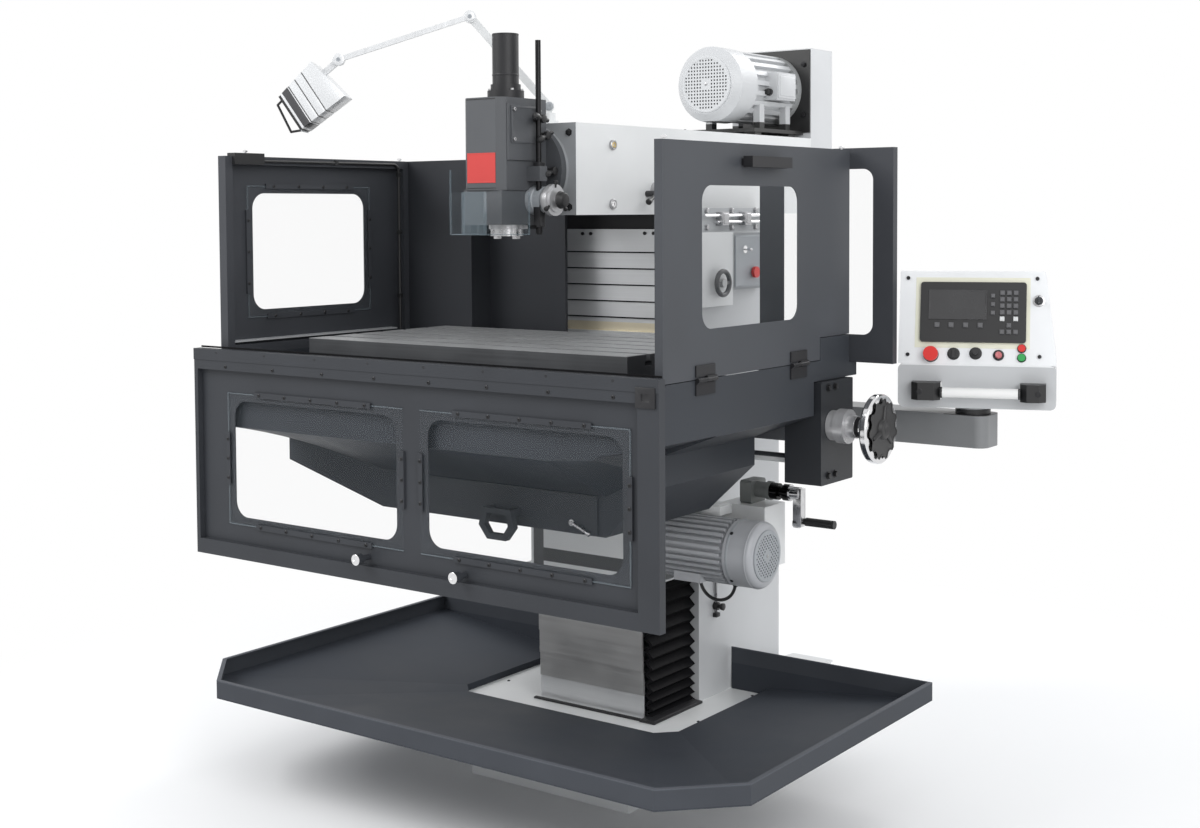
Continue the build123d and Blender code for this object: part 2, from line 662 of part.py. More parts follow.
# front door: rim frame, skin with two windows, strips and knobs
door = block(door_x0, door_x1, door_front, door_back, door_low, door_top)
door -= block(door_x0 + 14, door_x1 - 60, door_front - 1, door_skin_y, door_low + door_rim, 1226)
door -= block(door_x0 + 14, door_x1 - 60, door_skin_y + sheet, door_back + 1, door_low + door_rim, 1226)
for x0, x1 in ((-648, -36), (73, 675)):
    door -= window_y(x0, x1, door_front, door_back, 818, 1142, 45)
    door += strips_y(door_skin_y, -1, x0 - 24, x1 + 24, 796, 1164, 110)
door += block(door_x0, door_x1, door_front - 2, door_front + 1, 1252, door_top)
for x, z in ((-139, 766), (194, 762)):
    door += bar_y(x, door_front - 14, door_skin_y + 1, z, 8)
    door += bar_y(x, door_front - 30, door_front - 12, z, 14)
save(door, "front_door")
panes = []
for x0, x1 in ((-648, -36), (73, 675)):
    panes.append(block(x0 - 24, x1 + 24, door_skin_y - pane, door_skin_y - touch_gap, 796, 1164))
save(Compound(children=panes), "door_panes")

# ram with its front plate and swivel disc, running on the guide key
ram = block(-ram_x, ram_x, ram_front, ram_back, ram_low, ram_top)
ram -= block(-guide_key_x - touch_gap, guide_key_x + touch_gap, ram_front - 1, ram_back + 1,
             ram_low - 1, guide_key_top + touch_gap)
ram += block(-ram_x, ram_x, ram_front - ram_plate, ram_front, ram_low, ram_top)
ram += bar_y(0, ram_front - ram_plate - swivel_h, ram_front - ram_plate + 1, swivel_z, swivel_r)
for y, z in ((-331, 1848), (-332, 1682)):
    ram += bar_x(ram_x - 1, ram_x + 6, y, z, 13)
ram += bar_x(ram_x - 1, ram_x + 26, -117, 1723, 24)
ram += bar_x(ram_x - 1, ram_x + 30, -160, 1712, 9)
ram += bar_z(lamp_x, lamp_y, ram_top - 1, base_z, 26)
lamp_frame = Pos(lamp_x, lamp_y, 0) * Rot(0, 0, lamp_turn)
lamp_base = bar_z(0, 0, base_z - 1, base_z + 22, 18)
lamp_base += block(-9, 9, touch_gap, 12, base_z + 21, lamp_hinge_z)
lamp_base += bar_y(0, touch_gap, 12, lamp_hinge_z, 14)
ram += lamp_frame * lamp_base
save(ram, "ram")

# belt housing behind the ram, spindle motor in front of it
save(block(-ram_x, ram_x, ram_back, ram_back + belt_depth, ram_low, belt_top), "belt_housing")
smotor = block(-ram_x + 2, ram_x - 2, ram_back - 6, ram_back, ram_top + 20, belt_top - 4)
smotor += bar_y(0, 500, ram_back - 5, motor_z, motor_r - 14)
smotor += Pos(0, ram_back - 30, motor_z) * Rot(90, 0, 0) * rib_ring(motor_r, motor_r - 16, motor_fins, 275)
smotor += bar_y(0, ram_back - 32, ram_back - 5, motor_z, motor_r)
smotor += bar_y(0, motor_front + 22, 520, motor_z, motor_r + 4)
smotor += Pos(0, motor_front + 11, motor_z) * Rot(90, 0, 0) * Cone(motor_r + 4, motor_r - 22, 22)
plate_low = ram_top + motor_rise
smotor += block(-120, 120, 500, ram_back, plate_low, plate_low + 12)
leg_top = motor_z - motor_r / 2
smotor += mirrored(block(80, 104, 560, 590, plate_low + 11, leg_top))
smotor += mirrored(block(80, 104, 730, 760, plate_low + 11, leg_top))
smotor += mirrored(block(70, 110, 520, 560, ram_top, plate_low + 1))
smotor += mirrored(block(70, 110, 740, 780, ram_top, plate_low + 1))
smotor += block(95, 146, 600, 720, motor_z - 45, motor_z + 45)
save(smotor, "spindle_motor")

# milling head with its flange, lower block, rod guide and guard bracket
disc_face = ram_front - ram_plate - swivel_h - touch_gap
head = block(-head_x, head_x, head_front, head_back, head_low, head_top)
head = chamfer(head.edges().filter_by(Axis.Z).group_by(Axis.Y)[0], 20)
head += block(-nose_block_x, nose_block_x, nose_block_front, nose_block_back, nose_block_low, head_low + 1)
head += bar_y(0, head_back - 1, disc_face, swivel_z, swivel_r)
rod_low = head_low + 24
head += block(head_x - 1, 116, -616, -584, rod_low, rod_low + 40)
head += block(head_x - 1, head_x + 6, -700, -560, head_low + 80, head_top - 17)
head += block(-108, -head_x + 1, -610, -596, head_low - 38, head_low + 66)
pin_low = head_low - 38
pin_high = head_low + 60
for z0 in (pin_low, pin_high):
    head += block(-108, -92, guard_hinge_y - 6, -600, z0, z0 + 6)
head += bar_z(guard_hinge_x, guard_hinge_y, pin_low + 2, pin_high + 4, 3.5)
head -= bar_z(0, quill_y, nose_block_low - 1, quill_top + 12, quill_r + run_gap)
head -= bar_z(stop_rod_x, stop_rod_y, rod_low - 4, rod_low + 46, stop_rod_r + run_gap)
save(head, "head")
save(bar_z(0, quill_y, head_top, head_top + 23, drawbar_r + 14)
     + bar_z(0, quill_y, head_top + 22, head_top + 40, drawbar_r + 5)
     + bar_z(0, quill_y, head_top + 22, drawbar_top, drawbar_r), "drawbar_cylinder")

# quill with arm and depth rod; spindle nose; quill wheel
quill = bar_z(0, quill_y, quill_low, quill_top, quill_r)
quill += block(30, stop_rod_x, quill_y + 4, quill_y + 28, quill_low, nose_block_low - 1.5)
quill += bar_z(stop_rod_x, stop_rod_y, quill_low - 11, quill_low + 25, stop_rod_r + 1.5)
quill += bar_z(stop_rod_x, stop_rod_y, quill_low - 15, stop_rod_top, stop_rod_r)
quill -= bar_z(0, quill_y, quill_low - 1, quill_low + 60, 25 + run_gap)
save(quill, "quill")
spindle = bar_z(0, quill_y, quill_low - spindle_h, quill_low, spindle_r)
spindle += bar_z(0, quill_y, quill_low - 1, quill_low + 59, 25)
spindle += block(-40, -26, quill_y - 8, quill_y + 8, quill_low - spindle_h - 8, quill_low - spindle_h + 1)
spindle += block(26, 40, quill_y - 8, quill_y + 8, quill_low - spindle_h - 8, quill_low - spindle_h + 1)
spindle -= Pos(0, quill_y, quill_low - spindle_h + 34) * Cone(22, 12, 70)
save(spindle, "spindle")
qwheel = bar_x(nose_block_x, 119, wheel_y, wheel_z, 8)
qwheel += bar_x(118, 128, wheel_y, wheel_z, wheel_r - 5)
qwheel += bar_x(127, 141, wheel_y, wheel_z, wheel_r)
qwheel += bar_x(140, 146, wheel_y, wheel_z, wheel_r - 10)
qwheel += bar_x(145, 158, wheel_y, wheel_z, 12)
save(qwheel, "quill_wheel")


# see-through guard, bent sheet in plan
guard_line = [(guard_hinge_x, guard_hinge_y), (guard_hinge_x, -734), (-28, -765), (45, -765), (118, -665)]
guard_face = make_face(offset(Polyline(*guard_line), 2, side=Side.BOTH).edges())
guard = Pos(0, 0, pin_low - 82) * extrude(guard_face, 80, dir=(0, 0, 1))
guard += Pos(0, 0, pin_low - 3) * extrude(make_face(offset(Polyline(*guard_line[1:]), 2, side=Side.BOTH).edges()),
                                   36, dir=(0, 0, 1))
guard += block(guard_hinge_x - 2, guard_hinge_x + 2, -734, guard_hinge_y + 2, pin_low - 3, pin_high - 5)
guard -= block(-120, -88, guard_hinge_y - 12, guard_hinge_y + 20, pin_low - 6, pin_low + 7)
guard += bar_z(guard_hinge_x, guard_hinge_y, pin_low + 7, pin_high - touch_gap, 6)
guard -= bar_z(guard_hinge_x, guard_hinge_y, pin_low - 12, pin_high + 10, 3.5 + run_gap)
save(guard, "guard")

# lamp: two arms in one upright plane and a ribbed head
elbow = (219, lamp_hinge_z + 250)
joint = (586, lamp_hinge_z + 133)
lamp_z = lamp_hinge_z + 34


def lamp_bar(p, q, y0, y1, half):
    length = hypot(q[0] - p[0], q[1] - p[1])
    ux = (q[0] - p[0]) / length
    uz = (q[1] - p[1]) / length
    a = (p[0] - uz * half, p[1] + ux * half)
    b = (p[0] + uz * half, p[1] - ux * half)
    c = (q[0] + uz * half, q[1] - ux * half)
    d = (q[0] - uz * half, q[1] + ux * half)
    return prism_y([a, b, c, d], y0, y1)


lamp_lower = bar_y(0, -16, 0, lamp_hinge_z, 14)
lamp_lower += lamp_bar((0, lamp_hinge_z), elbow, -8, 0, 11)
lamp_lower += bar_y(elbow[0], -8, 0, elbow[1], 17)
save(lamp_frame * lamp_lower, "lamp_lower")
lamp_upper = bar_y(elbow[0], touch_gap, 12, elbow[1], 17)
lamp_upper += lamp_bar(elbow, joint, touch_gap, 12, 7)
lamp_upper += bar_y(joint[0], touch_gap, 12, joint[1], 16)
save(lamp_frame * lamp_upper, "lamp_upper")
lamp_head = prism_y([(653, lamp_z + 88), (562, lamp_z - 4), (673, lamp_z - 90), (733, lamp_z)], -72, 60)
lamp_head += prism_y([(743, lamp_z - 6), (733, lamp_z + 2), (668, lamp_z - 84), (684, lamp_z - 98)], -78, 66)
for i in range(7):
    s = 0.08 + 0.12 * i
    a = (653 + (733 - 653) * s, lamp_z + 88 - 88 * s)
    b = (562 + (673 - 562) * s, lamp_z - 4 - 86 * s)
    lamp_head += lamp_bar((a[0] + 4, a[1] + 4), (b[0] - 4, b[1] - 4), -76, 64, 3)
lamp_head += bar_y(joint[0], -14, 0, joint[1], 16)
lamp_head += lamp_bar(joint, (632, lamp_z + 61), -14, -2, 9)
save(lamp_frame * lamp_head, "lamp_head")

# swing arm of the control panel, carried by the column side
swing_arm = bar_z(swing_x, panel_y, swing_low, swing_high, 40)
arm_body = block(swing_x, panel_x + arm_half, panel_y - arm_half, panel_y + arm_half, swing_low, swing_high)
arm_body = fillet(arm_body.edges().filter_by(Axis.Z).group_by(Axis.X)[-1], 30)
arm_body -= block(swing_x - 1, swing_x + 90, panel_y - arm_half - 1, panel_y - 40, swing_low - 1, swing_high + 1)
arm_body -= block(swing_x - 1, swing_x + 90, panel_y + 40, panel_y + arm_half + 1, swing_low - 1, swing_high + 1)
swing_arm += arm_body
swing_arm += bar_z(panel_x, panel_y, swing_high - 1, swing_high + 12, 48)
save(swing_arm, "panel_arm")

# panel housing: lower box, leaning face, bar handle
panel_frame = Pos(panel_x, panel_y, 0) * Rot(0, 0, panel_turn)
panel_mid_y = -65
press_travel = 4
stop_travel = 4.5
lean = (panel_top - panel_mid) * tan(radians(panel_tilt))
housing = block(-200, 222, panel_mid_y, 50, panel_low, panel_mid)
housing = fillet(housing.edges().filter_by(Axis.Y), 16)
face_body = prism_x([(panel_mid_y + 2, panel_mid), (panel_mid_y + 2 + lean, panel_top), (60, panel_top),
                     (60, panel_mid)], -200, 222)
face_body -= prism_y([(222, panel_mid + 14), (230, panel_mid + 14), (230, panel_top + 1), (192, panel_top + 1)],
                     panel_mid_y - 10, 70)
housing += face_body
housing += bar_z(0, 0, swing_high + 12 + touch_gap, panel_low + 1, 40)
for x0, x1 in ((-160, -81), (128, 196)):
    grip_end = block(x0, x1, panel_mid_y - 54, panel_mid_y + 1, 1143, 1191)
    housing += chamfer(grip_end.edges().filter_by(Axis.Z).group_by(Axis.Y)[0], 18)
housing += bar_x(-82, 129, panel_mid_y - 36, 1164, 14)
normal_y = -cos(radians(panel_tilt))
normal_z = sin(radians(panel_tilt))


def face_point(x, z, out):
    y = panel_mid_y + 2 + (z - panel_mid) * tan(radians(panel_tilt))
    return (x, y + out * normal_y, z + out * normal_z)


def face_plane(x, z, out):
    return Plane(origin=face_point(x, z, out), x_dir=(1, 0, 0), z_dir=(0, normal_y, normal_z))


readout = extrude(face_plane(0, 1378, 0) * RectangleRounded(284, 168, 8), 10)
screen = extrude(face_plane(-41, 1397.5, 9) * Rectangle(158, 84), 3)
readout -= screen
key_size = 11
for i in range(3):
    for j in range(7):
        if (i, j) not in ((0, 1), (2, 1), (1, 2)):
            readout += extrude(face_plane(78 + 18 * i, 1325 + 17.5 * j, 9) * Rectangle(key_size, key_size), 3)
for i in range(3):
    readout += extrude(face_plane(53, 1376 + 23 * i, 9) * Rectangle(key_size - 1, key_size - 1), 3)
for i in range(4):
    readout += extrude(face_plane(-96 + 38.7 * i, 1342, 9) * Rectangle(key_size + 1, key_size + 1), 3)
controls = {"e_stop": (-111, 1263), "selector": (-50, 1266), "joystick": (9, 1268), "start_button": (131, 1258),
            "stop_button": (131, 1283), "key": (174, 1411)}
for name in controls:
    cx, cz = controls[name]
    housing -= extrude(face_plane(cx, cz, -14) * Circle(6.4), 20)
save(panel_frame * housing, "panel_housing")
save(panel_frame * readout, "readout")


def knob(x, z, parts):
    shape = extrude(face_plane(x, z, -8) * Circle(6), 9 + parts[0][0])
    for start, length, r in parts:
        shape += extrude(face_plane(x, z, start) * Circle(r), length)
    return shape


cx, cz = controls["e_stop"]
save(panel_frame * knob(cx, cz, ((stop_travel + 0.5, 7, 12), (stop_travel + 7, 11, 20))), "e_stop")
cx, cz = controls["selector"]
selector = knob(cx, cz, ((touch_gap, 8, 13),))
selector += extrude(face_plane(cx, cz, 8) * Rectangle(8, 24), 8)
save(panel_frame * selector, "selector")
cx, cz = controls["joystick"]
save(panel_frame * knob(cx, cz, ((touch_gap, 8, 13), (8, 14, 5), (20, 9, 7))), "joystick")
cx, cz = controls["start_button"]
save(panel_frame * knob(cx, cz, ((press_travel + 0.5, 4, 10),)), "start_button")
cx, cz = controls["stop_button"]
save(panel_frame * knob(cx, cz, ((press_travel + 0.5, 4, 10),)), "stop_button")
cx, cz = controls["key"]
key = knob(cx, cz, ((touch_gap, 5, 11),))
key += extrude(face_plane(cx, cz, 5) * Rectangle(3, 18), 24)
save(panel_frame * key, "key")
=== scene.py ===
import bpy
import itertools
import math
from mathutils import Matrix, Vector


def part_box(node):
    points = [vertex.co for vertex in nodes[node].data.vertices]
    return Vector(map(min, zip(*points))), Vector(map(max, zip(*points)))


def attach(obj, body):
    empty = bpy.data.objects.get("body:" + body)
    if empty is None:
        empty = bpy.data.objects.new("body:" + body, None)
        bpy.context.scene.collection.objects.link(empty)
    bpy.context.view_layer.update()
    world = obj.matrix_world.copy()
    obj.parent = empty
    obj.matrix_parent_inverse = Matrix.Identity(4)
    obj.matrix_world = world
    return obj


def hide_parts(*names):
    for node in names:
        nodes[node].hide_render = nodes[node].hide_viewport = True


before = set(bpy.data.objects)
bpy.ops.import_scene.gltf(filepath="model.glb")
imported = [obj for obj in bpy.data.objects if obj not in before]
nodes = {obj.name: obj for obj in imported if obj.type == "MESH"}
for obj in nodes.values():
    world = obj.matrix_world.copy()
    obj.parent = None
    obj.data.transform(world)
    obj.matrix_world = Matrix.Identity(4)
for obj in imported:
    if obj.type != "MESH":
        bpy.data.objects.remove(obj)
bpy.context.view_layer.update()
print("frame loaded:", len(nodes), "nodes")

socketKinds = {0: "NodeSocketFloat", 3: "NodeSocketVector", 4: "NodeSocketColor"}
midGrey = (0.5, 0.5, 0.5, 1)


def makeGroup(name, inputs, outputs):
    # an input's kind follows from its default value
    group = bpy.data.node_groups.new(name, "ShaderNodeTree")
    newSocket = group.interface.new_socket
    newSocket(name="Position", in_out="INPUT", socket_type="NodeSocketVector")
    for label, value in inputs.items():
        kind = socketKinds[len(value) if isinstance(value, tuple) else 0]
        newSocket(name=label, in_out="INPUT", socket_type=kind).default_value = value
    for label in outputs:
        newSocket(name=label, in_out="OUTPUT", socket_type=socketKinds[4 if label == "Color" else 0])
    return group, group.nodes.new("NodeGroupInput").outputs, group.nodes.new("NodeGroupOutput").inputs


def addNode(tree, kind, values=None, links=None, **settings):
    # a shader node with its settings, its values and the outputs that feed it
    node = tree.nodes.new("ShaderNode" + kind)
    for label, value in settings.items():
        setattr(node, label, value)
    for label, value in (values or {}).items():
        node.inputs[label].default_value = value
    for label, output in (links or {}).items():
        tree.links.new(output, node.inputs[label])
    return node


def combine(tree, operation, a, b, clamp=False):
    return addNode(tree, "Math", links={0: a, 1: b}, operation=operation, use_clamp=clamp).outputs[0]


def mixColors(tree, share, a, b):
    return addNode(tree, "Mix", links={"Factor": share, "A": a, "B": b}, data_type="RGBA").outputs["Result"]


def mapped(tree, value, low, high, **links):
    # the value from low to high, mapped to 0 to 1 or to the two outputs given
    links = {label.replace("_", " "): output for label, output in links.items()}
    return addNode(tree, "MapRange", {"From Min": low, "From Max": high}, {"Value": value, **links}).outputs["Result"]


def finishGroup(tree, given, out, value, tintRange, roughRange, height):
    # the tint and the roughness follow one value
    share = mapped(tree, value, *tintRange)
    rough = mapped(tree, value, *roughRange, To_Min=given["Rough Low"], To_Max=given["Rough High"])
    tree.links.new(mixColors(tree, share, given["Tint A"], given["Tint B"]), out["Color"])
    tree.links.new(rough, out["Roughness"])
    tree.links.new(height, out["Height"])
    return tree


def paintGrainGroup():
    # two tints by a soft cloud, and a fine orange peel for the bump
    tree, given, out = makeGroup("paintGrain", {
        "Tint A": midGrey, "Tint B": midGrey, "Cloud Size": 4.0, "Grain Size": 900.0, "Rough Low": 0.4,
        "Rough High": 0.55}, ("Color", "Roughness", "Height"))
    cloud = addNode(tree, "TexNoise", {"Detail": 5}, {"Vector": given["Position"], "Scale": given["Cloud Size"]})
    grain = addNode(tree, "TexNoise", {"Detail": 2}, {"Vector": given["Position"], "Scale": given["Grain Size"]})
    return finishGroup(tree, given, out, cloud.outputs["Fac"], (0.3, 0.7), (0.25, 0.75), grain.outputs["Fac"])


def brushedGroup():
    # long fine scratches along one axis, as ground or drawn metal has
    tree, given, out = makeGroup("brushedMetal", {
        "Stretch": (3.0, 300.0, 300.0), "Tint A": midGrey, "Tint B": (0.4, 0.4, 0.4, 1), "Rough Low": 0.25,
        "Rough High": 0.45}, ("Color", "Roughness", "Height"))
    scale = addNode(tree, "VectorMath", links={0: given["Position"], 1: given["Stretch"]}, operation="MULTIPLY")
    hair = addNode(tree, "TexNoise", {"Scale": 1.0, "Detail": 4}, {"Vector": scale.outputs["Vector"]}).outputs["Fac"]
    patch = addNode(tree, "TexNoise", {"Scale": 7, "Detail": 3}, {"Vector": given["Position"]}).outputs["Fac"]
    return finishGroup(tree, given, out, combine(tree, "ADD", hair, patch), (0.7, 1.3), (0.7, 1.3), hair)


def boxMaskGroup():
    # 1 inside a box given by its low and high corner, 0 outside
    tree, given, out = makeGroup("boxMask", {"Low": (-9, -9, -9), "High": (9, 9, 9)}, ("Mask",))
    split, low, high = (addNode(tree, "SeparateXYZ", links={0: given[label]}).outputs
                        for label in ("Position", "Low", "High"))
    tests = [combine(tree, operation, split[axis], side[axis]) for axis in "XYZ"
             for side, operation in ((low, "GREATER_THAN"), (high, "LESS_THAN"))]
    inside = tests[0]
    for test in tests[1:]:
        inside = combine(tree, "MULTIPLY", inside, test)
    tree.links.new(inside, out["Mask"])
    return tree


groups = {"paintGrain": paintGrainGroup(), "brushedMetal": brushedGroup(), "boxMask": boxMaskGroup()}


def startMaterial(name):
    material = bpy.data.materials.new(name)
    material.use_nodes = True
    tree = material.node_tree
    return tree, tree.nodes["Principled BSDF"], addNode(tree, "TexCoord").outputs["Object"]


def useGroup(tree, name, position, **values):
    values = {label.replace("_", " "): value for label, value in values.items()}
    node = tree.nodes.new("ShaderNodeGroup")
    node.node_tree = groups[name]
    tree.links.new(position, node.inputs["Position"])
    for label, value in values.items():
        node.inputs[label].default_value = value
    return node.outputs


def finishShader(tree, shader, color, base, bump=None, bumpDepth=0.0004, **values):
    tree.links.new(color, shader.inputs["Base Color"])
    tree.links.new(base["Roughness"], shader.inputs["Roughness"])
    if bump is not None:
        relief = addNode(tree, "Bump", {"Strength": bump, "Distance": bumpDepth}, {"Height": base["Height"]})
        tree.links.new(relief.outputs["Normal"], shader.inputs["Normal"])
    for label, value in values.items():
        shader.inputs[label.replace("_", " ")].default_value = value


def tints(color, darker, lighter):
    return {label: (*(part * factor for part in color), 1)
            for label, factor in (("Tint_A", 1 - darker), ("Tint_B", 1 + lighter))}


def addPatches(tree, position, out, patches, vary=0.08, cloud=4.0, grain=500):
    # patches: (low corner, high corner, color) boxes that carry another colour
    for low, high, other in patches:
        mask = useGroup(tree, "boxMask", position, Low=low, High=high)
        layer = useGroup(tree, "paintGrain", position, Cloud_Size=cloud, Grain_Size=grain,
                         **tints(other, vary, vary * 0.6))
        out = mixColors(tree, mask["Mask"], out, layer["Color"])
    return out


def paint(name, color, rough=0.45, grain=900, bump=0.25, vary=0.12, metallic=0.0, coat=0.0, cloud=4.0, shine=0.5,
          patches=(), place=None, turn=(0, 0, 0)):
    tree, shader, position = startMaterial(name)
    base = useGroup(tree, "paintGrain", position, Cloud_Size=cloud, Grain_Size=grain, Rough_Low=rough - 0.07,
                    Rough_High=rough + 0.09, **tints(color, vary, vary * 0.6))
    if place is not None:  # the patches lie on a turned piece
        angles = [math.radians(a) for a in turn]
        position = addNode(tree, "Mapping", {"Location": place, "Rotation": angles}, {"Vector": position},
                           vector_type="TEXTURE").outputs["Vector"]
    color = addPatches(tree, position, base["Color"], patches, vary, cloud, grain)
    finishShader(tree, shader, color, base, bump, Metallic=metallic, Coat_Weight=coat, Specular_IOR_Level=shine)


def metal(name, color, rough=0.3, stretch=(3, 300, 300), bump=0.08, vary=0.12, metallic=1.0, patches=()):
    tree, shader, position = startMaterial(name)
    base = useGroup(tree, "brushedMetal", position, Rough_Low=rough - 0.08, Rough_High=rough + 0.1, Stretch=stretch,
                    **tints(color, vary, vary * 0.5))
    color = addPatches(tree, position, base["Color"], patches)
    finishShader(tree, shader, color, base, bump, 0.0002, Metallic=metallic)


sheetLook = {"color": (0.16, 0.19, 0.21), "alpha": 0.03, "thin": 0.02}


def clear(name, node, rimAlpha=0.4, color=sheetLook["color"], rim=0.003, lines=()):
    # a clear sheet, denser along its border and in the boxes of lines as a painted highlight of its bright edges
    tree, shader, position = startMaterial(name)
    base = useGroup(tree, "paintGrain", position, Cloud_Size=3, Grain_Size=200, Rough_Low=0.03, Rough_High=0.07,
                    **tints(color, 0.05, 0.03))
    low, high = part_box(node)
    edges = [rim if b - a > sheetLook["thin"] else -0.01 for a, b in zip(low, high)]
    inside = useGroup(tree, "boxMask", position, Low=[a + edge for a, edge in zip(low, edges)],
                      High=[b - edge for b, edge in zip(high, edges)])["Mask"]
    for lineLow, lineHigh in lines:
        line = useGroup(tree, "boxMask", position, Low=lineLow, High=lineHigh)["Mask"]
        inside = combine(tree, "SUBTRACT", inside, line, True)
    seen = addNode(tree, "MapRange", {"To Min": rimAlpha, "To Max": sheetLook["alpha"]}, {"Value": inside})
    tree.links.new(seen.outputs["Result"], shader.inputs["Alpha"])
    finishShader(tree, shader, base["Color"], base)


toRight, toFront, toBack, toTop = (1, 0, 0), (0, -1, 0), (0, 1, 0), (0, 0, 1)
shift = Matrix.Translation
white, black = (0.72, 0.73, 0.73), (0.018, 0.018, 0.02)
paint("darkPaint", (0.045, 0.048, 0.055), 0.48, 700, 0.35, shine=0.3)
paint("doorPaint", (0.037, 0.04, 0.046), 0.48, 700, 0.35, shine=0.25)
paint("headPaint", (0.082, 0.086, 0.093), 0.45, 650, 0.35, shine=0.35)
paint("rearPaint", (0.029, 0.031, 0.036), 0.5, 700, 0.35, shine=0.25)
paint("panPaint", (0.036, 0.04, 0.047), 0.5, 700, 0.06, shine=0.2, patches=(
    ((0.7612, -0.86, 1.2), (0.78, -0.3, 1.27), black),))
paint("flapPaint", (0.055, 0.059, 0.067), 0.46, 700, 0.35, shine=0.3, patches=(
    ((0.7613, -0.86, 1.2), (0.8, -0.3, 1.31), black),
    ((0.7613, -0.66, 1.75), (0.8, -0.44, 1.8), black)))
paint("leftPaint", (0.047, 0.05, 0.057), 0.48, 700, 0.35, shine=0.3, patches=(
    ((-0.7435, -0.96, 1.2955), (-0.7145, -0.29, 1.3005), (0.42, 0.43, 0.44)),))
paint("gearPaint", (0.022, 0.024, 0.028), 0.42, 600, 0.3, shine=0.3)
paint("trayPaint", (0.042, 0.047, 0.057), 0.55, 500, 0.25, shine=0.12, patches=(
    ((-0.93, -1.03, 0.2855), (0.93, 0.15, 0.331), (0.058, 0.063, 0.073)),
    ((-0.93, -1.03, 0.331), (0.93, 0.15, 0.34), (0.09, 0.096, 0.11))))
paint("whitePaint", white, 0.35, 350, 0.12, 0.05)
paint("columnPaint", (0.56, 0.57, 0.58), 0.38, 350, 0.12, 0.05)
paint("beltPaint", (0.64, 0.65, 0.66), 0.38, 350, 0.12, 0.05)
paint("greyPaint", (0.33, 0.35, 0.37), 0.4, 500, 0.2)
paint("feedPaint", (0.4, 0.41, 0.43), 0.4, 500, 0.2)
paint("controlPaint", (0.75, 0.76, 0.76), 0.38, 350, 0.12, 0.05, patches=(
    ((0.2, 0.105, 0.97), (0.33, 0.294, 1.61), (0.26, 0.27, 0.28)),))
paint("blackPaint", black, 0.42, 600, 0.25, shine=0.35)
metal("tableIron", (0.075, 0.078, 0.083), 0.42, (2, 200, 200), 0.1, 0.2, 0.3, patches=(
    ((-0.6, -0.9, 1.3066), (0.6, -0.1, 1.32), (0.3, 0.305, 0.31)),))
metal("lathSteel", (0.43, 0.43, 0.43), 0.4, (1.5, 260, 260), 0.05, 0.08, 0.75)
metal("upperSteel", (0.61, 0.62, 0.63), 0.36, (1.5, 260, 260), 0.05, 0.06, 0.5, patches=(
    ((-0.24, -0.06, 1.28), (0.24, -0.03, 1.326), (0.66, 0.6, 0.46)),))
metal("turnedSteel", (0.42, 0.42, 0.43), 0.32, (60, 60, 60), 0.06)
metal("chromePlate", (0.78, 0.78, 0.79), 0.1, (40, 40, 40), 0.02, 0.05)
metal("spindleSteel", (0.46, 0.46, 0.47), 0.24, (60, 60, 60), 0.03)
metal("lampAlu", (0.7, 0.71, 0.72), 0.33, (120, 120, 12), 0.05, 0.08, 0.4)
paint("lampPaint", (0.72, 0.73, 0.74), 0.3, 400, 0.05, 0.06, 0.3, place=(0.02, -0.45, 0), turn=(0, 32.7, 216.2),
      patches=(((-0.479, -1, -9), (-0.458, 1, 9), (0.07, 0.07, 0.074)),
               ((-0.4515, -1, -9), (-0.4, 1, 9), (0.015, 0.015, 0.016)),
               *(((x, -1, -9), (x + 0.003, 1, 9), (0.16, 0.16, 0.16)) for x in (-0.4842, -0.5092, -0.5352))))
metal("quillSteel", (0.42, 0.42, 0.43), 0.32, (60, 60, 60), 0.06, patches=(
    ((0.07, -0.7, 1.5), (0.13, -0.5, 2.2), (0.022, 0.022, 0.023)),))
metal("crankSteel", (0.62, 0.62, 0.63), 0.16, (60, 60, 60), 0.04, patches=(
    ((0.48, -0.06, 0.7), (0.549, 0.02, 0.9), (0.02, 0.02, 0.021)),))
paint("gearGrey", (0.17, 0.18, 0.175), 0.5, 500, 0.2, metallic=0.2)
metal("wheelSteel", (0.74, 0.74, 0.75), 0.12, (40, 40, 40), 0.02, 0.05)
paint("bellowsCloth", (0.004, 0.004, 0.005), 0.65, 1600, 0.5, shine=0.12)
paint("blackPlastic", (0.02, 0.02, 0.021), 0.4, 900, 0.3, shine=0.4)
paint("redPlastic", (0.62, 0.02, 0.015), 0.3, 500, 0.08)
paint("greenPlastic", (0.02, 0.32, 0.07), 0.3, 500, 0.08)
clear("doorSheet", "door_panes")
clear("leftSheet", "left_pane")
clear("flapSheet", "flap_pane")
clear("sashSheet", "sash_pane")
# the boxes of lines on the guard are made denser as painted highlights
clear("guardSheet", "guard", 0.35, (0.16, 0.21, 0.24), 0.0025, lines=(
    ((-0.105, -0.738, 1.5), (-0.094, -0.73, 1.8)), ((-0.033, -0.77, 1.5), (-0.023, -0.757, 1.8)),
    ((0.041, -0.77, 1.5), (0.05, -0.757, 1.8)), ((-0.107, -0.6245, 1.5), (-0.09, -0.61, 1.8))))
metal("screwBlack", (0.035, 0.035, 0.037), 0.38, (200, 200, 200), 0.06, 0.25, 0.7)
metal("screwSteel", (0.45, 0.45, 0.46), 0.3, (200, 200, 200), 0.05)
paint("ringPlastic", (0.085, 0.085, 0.088), 0.45, 900, 0.3, patches=(
    ((0.27, 0.007, 1.435), (0.32, 0.035, 1.463), (0.5, 0.5, 0.5)),))
paint("guidePaint", black, 0.42, 600, 0.25, shine=0.3, patches=(
    ((0.2395, -0.05, 1.59), (0.25, 0.47, 1.68), (0.5, 0.51, 0.52)),))
paint("keyBlack", (0.03, 0.034, 0.04), 0.3, 500, 0.1)
metal("dialSteel", (0.58, 0.58, 0.59), 0.34, (200, 30, 30), 0.08, 0.08, 0.6)
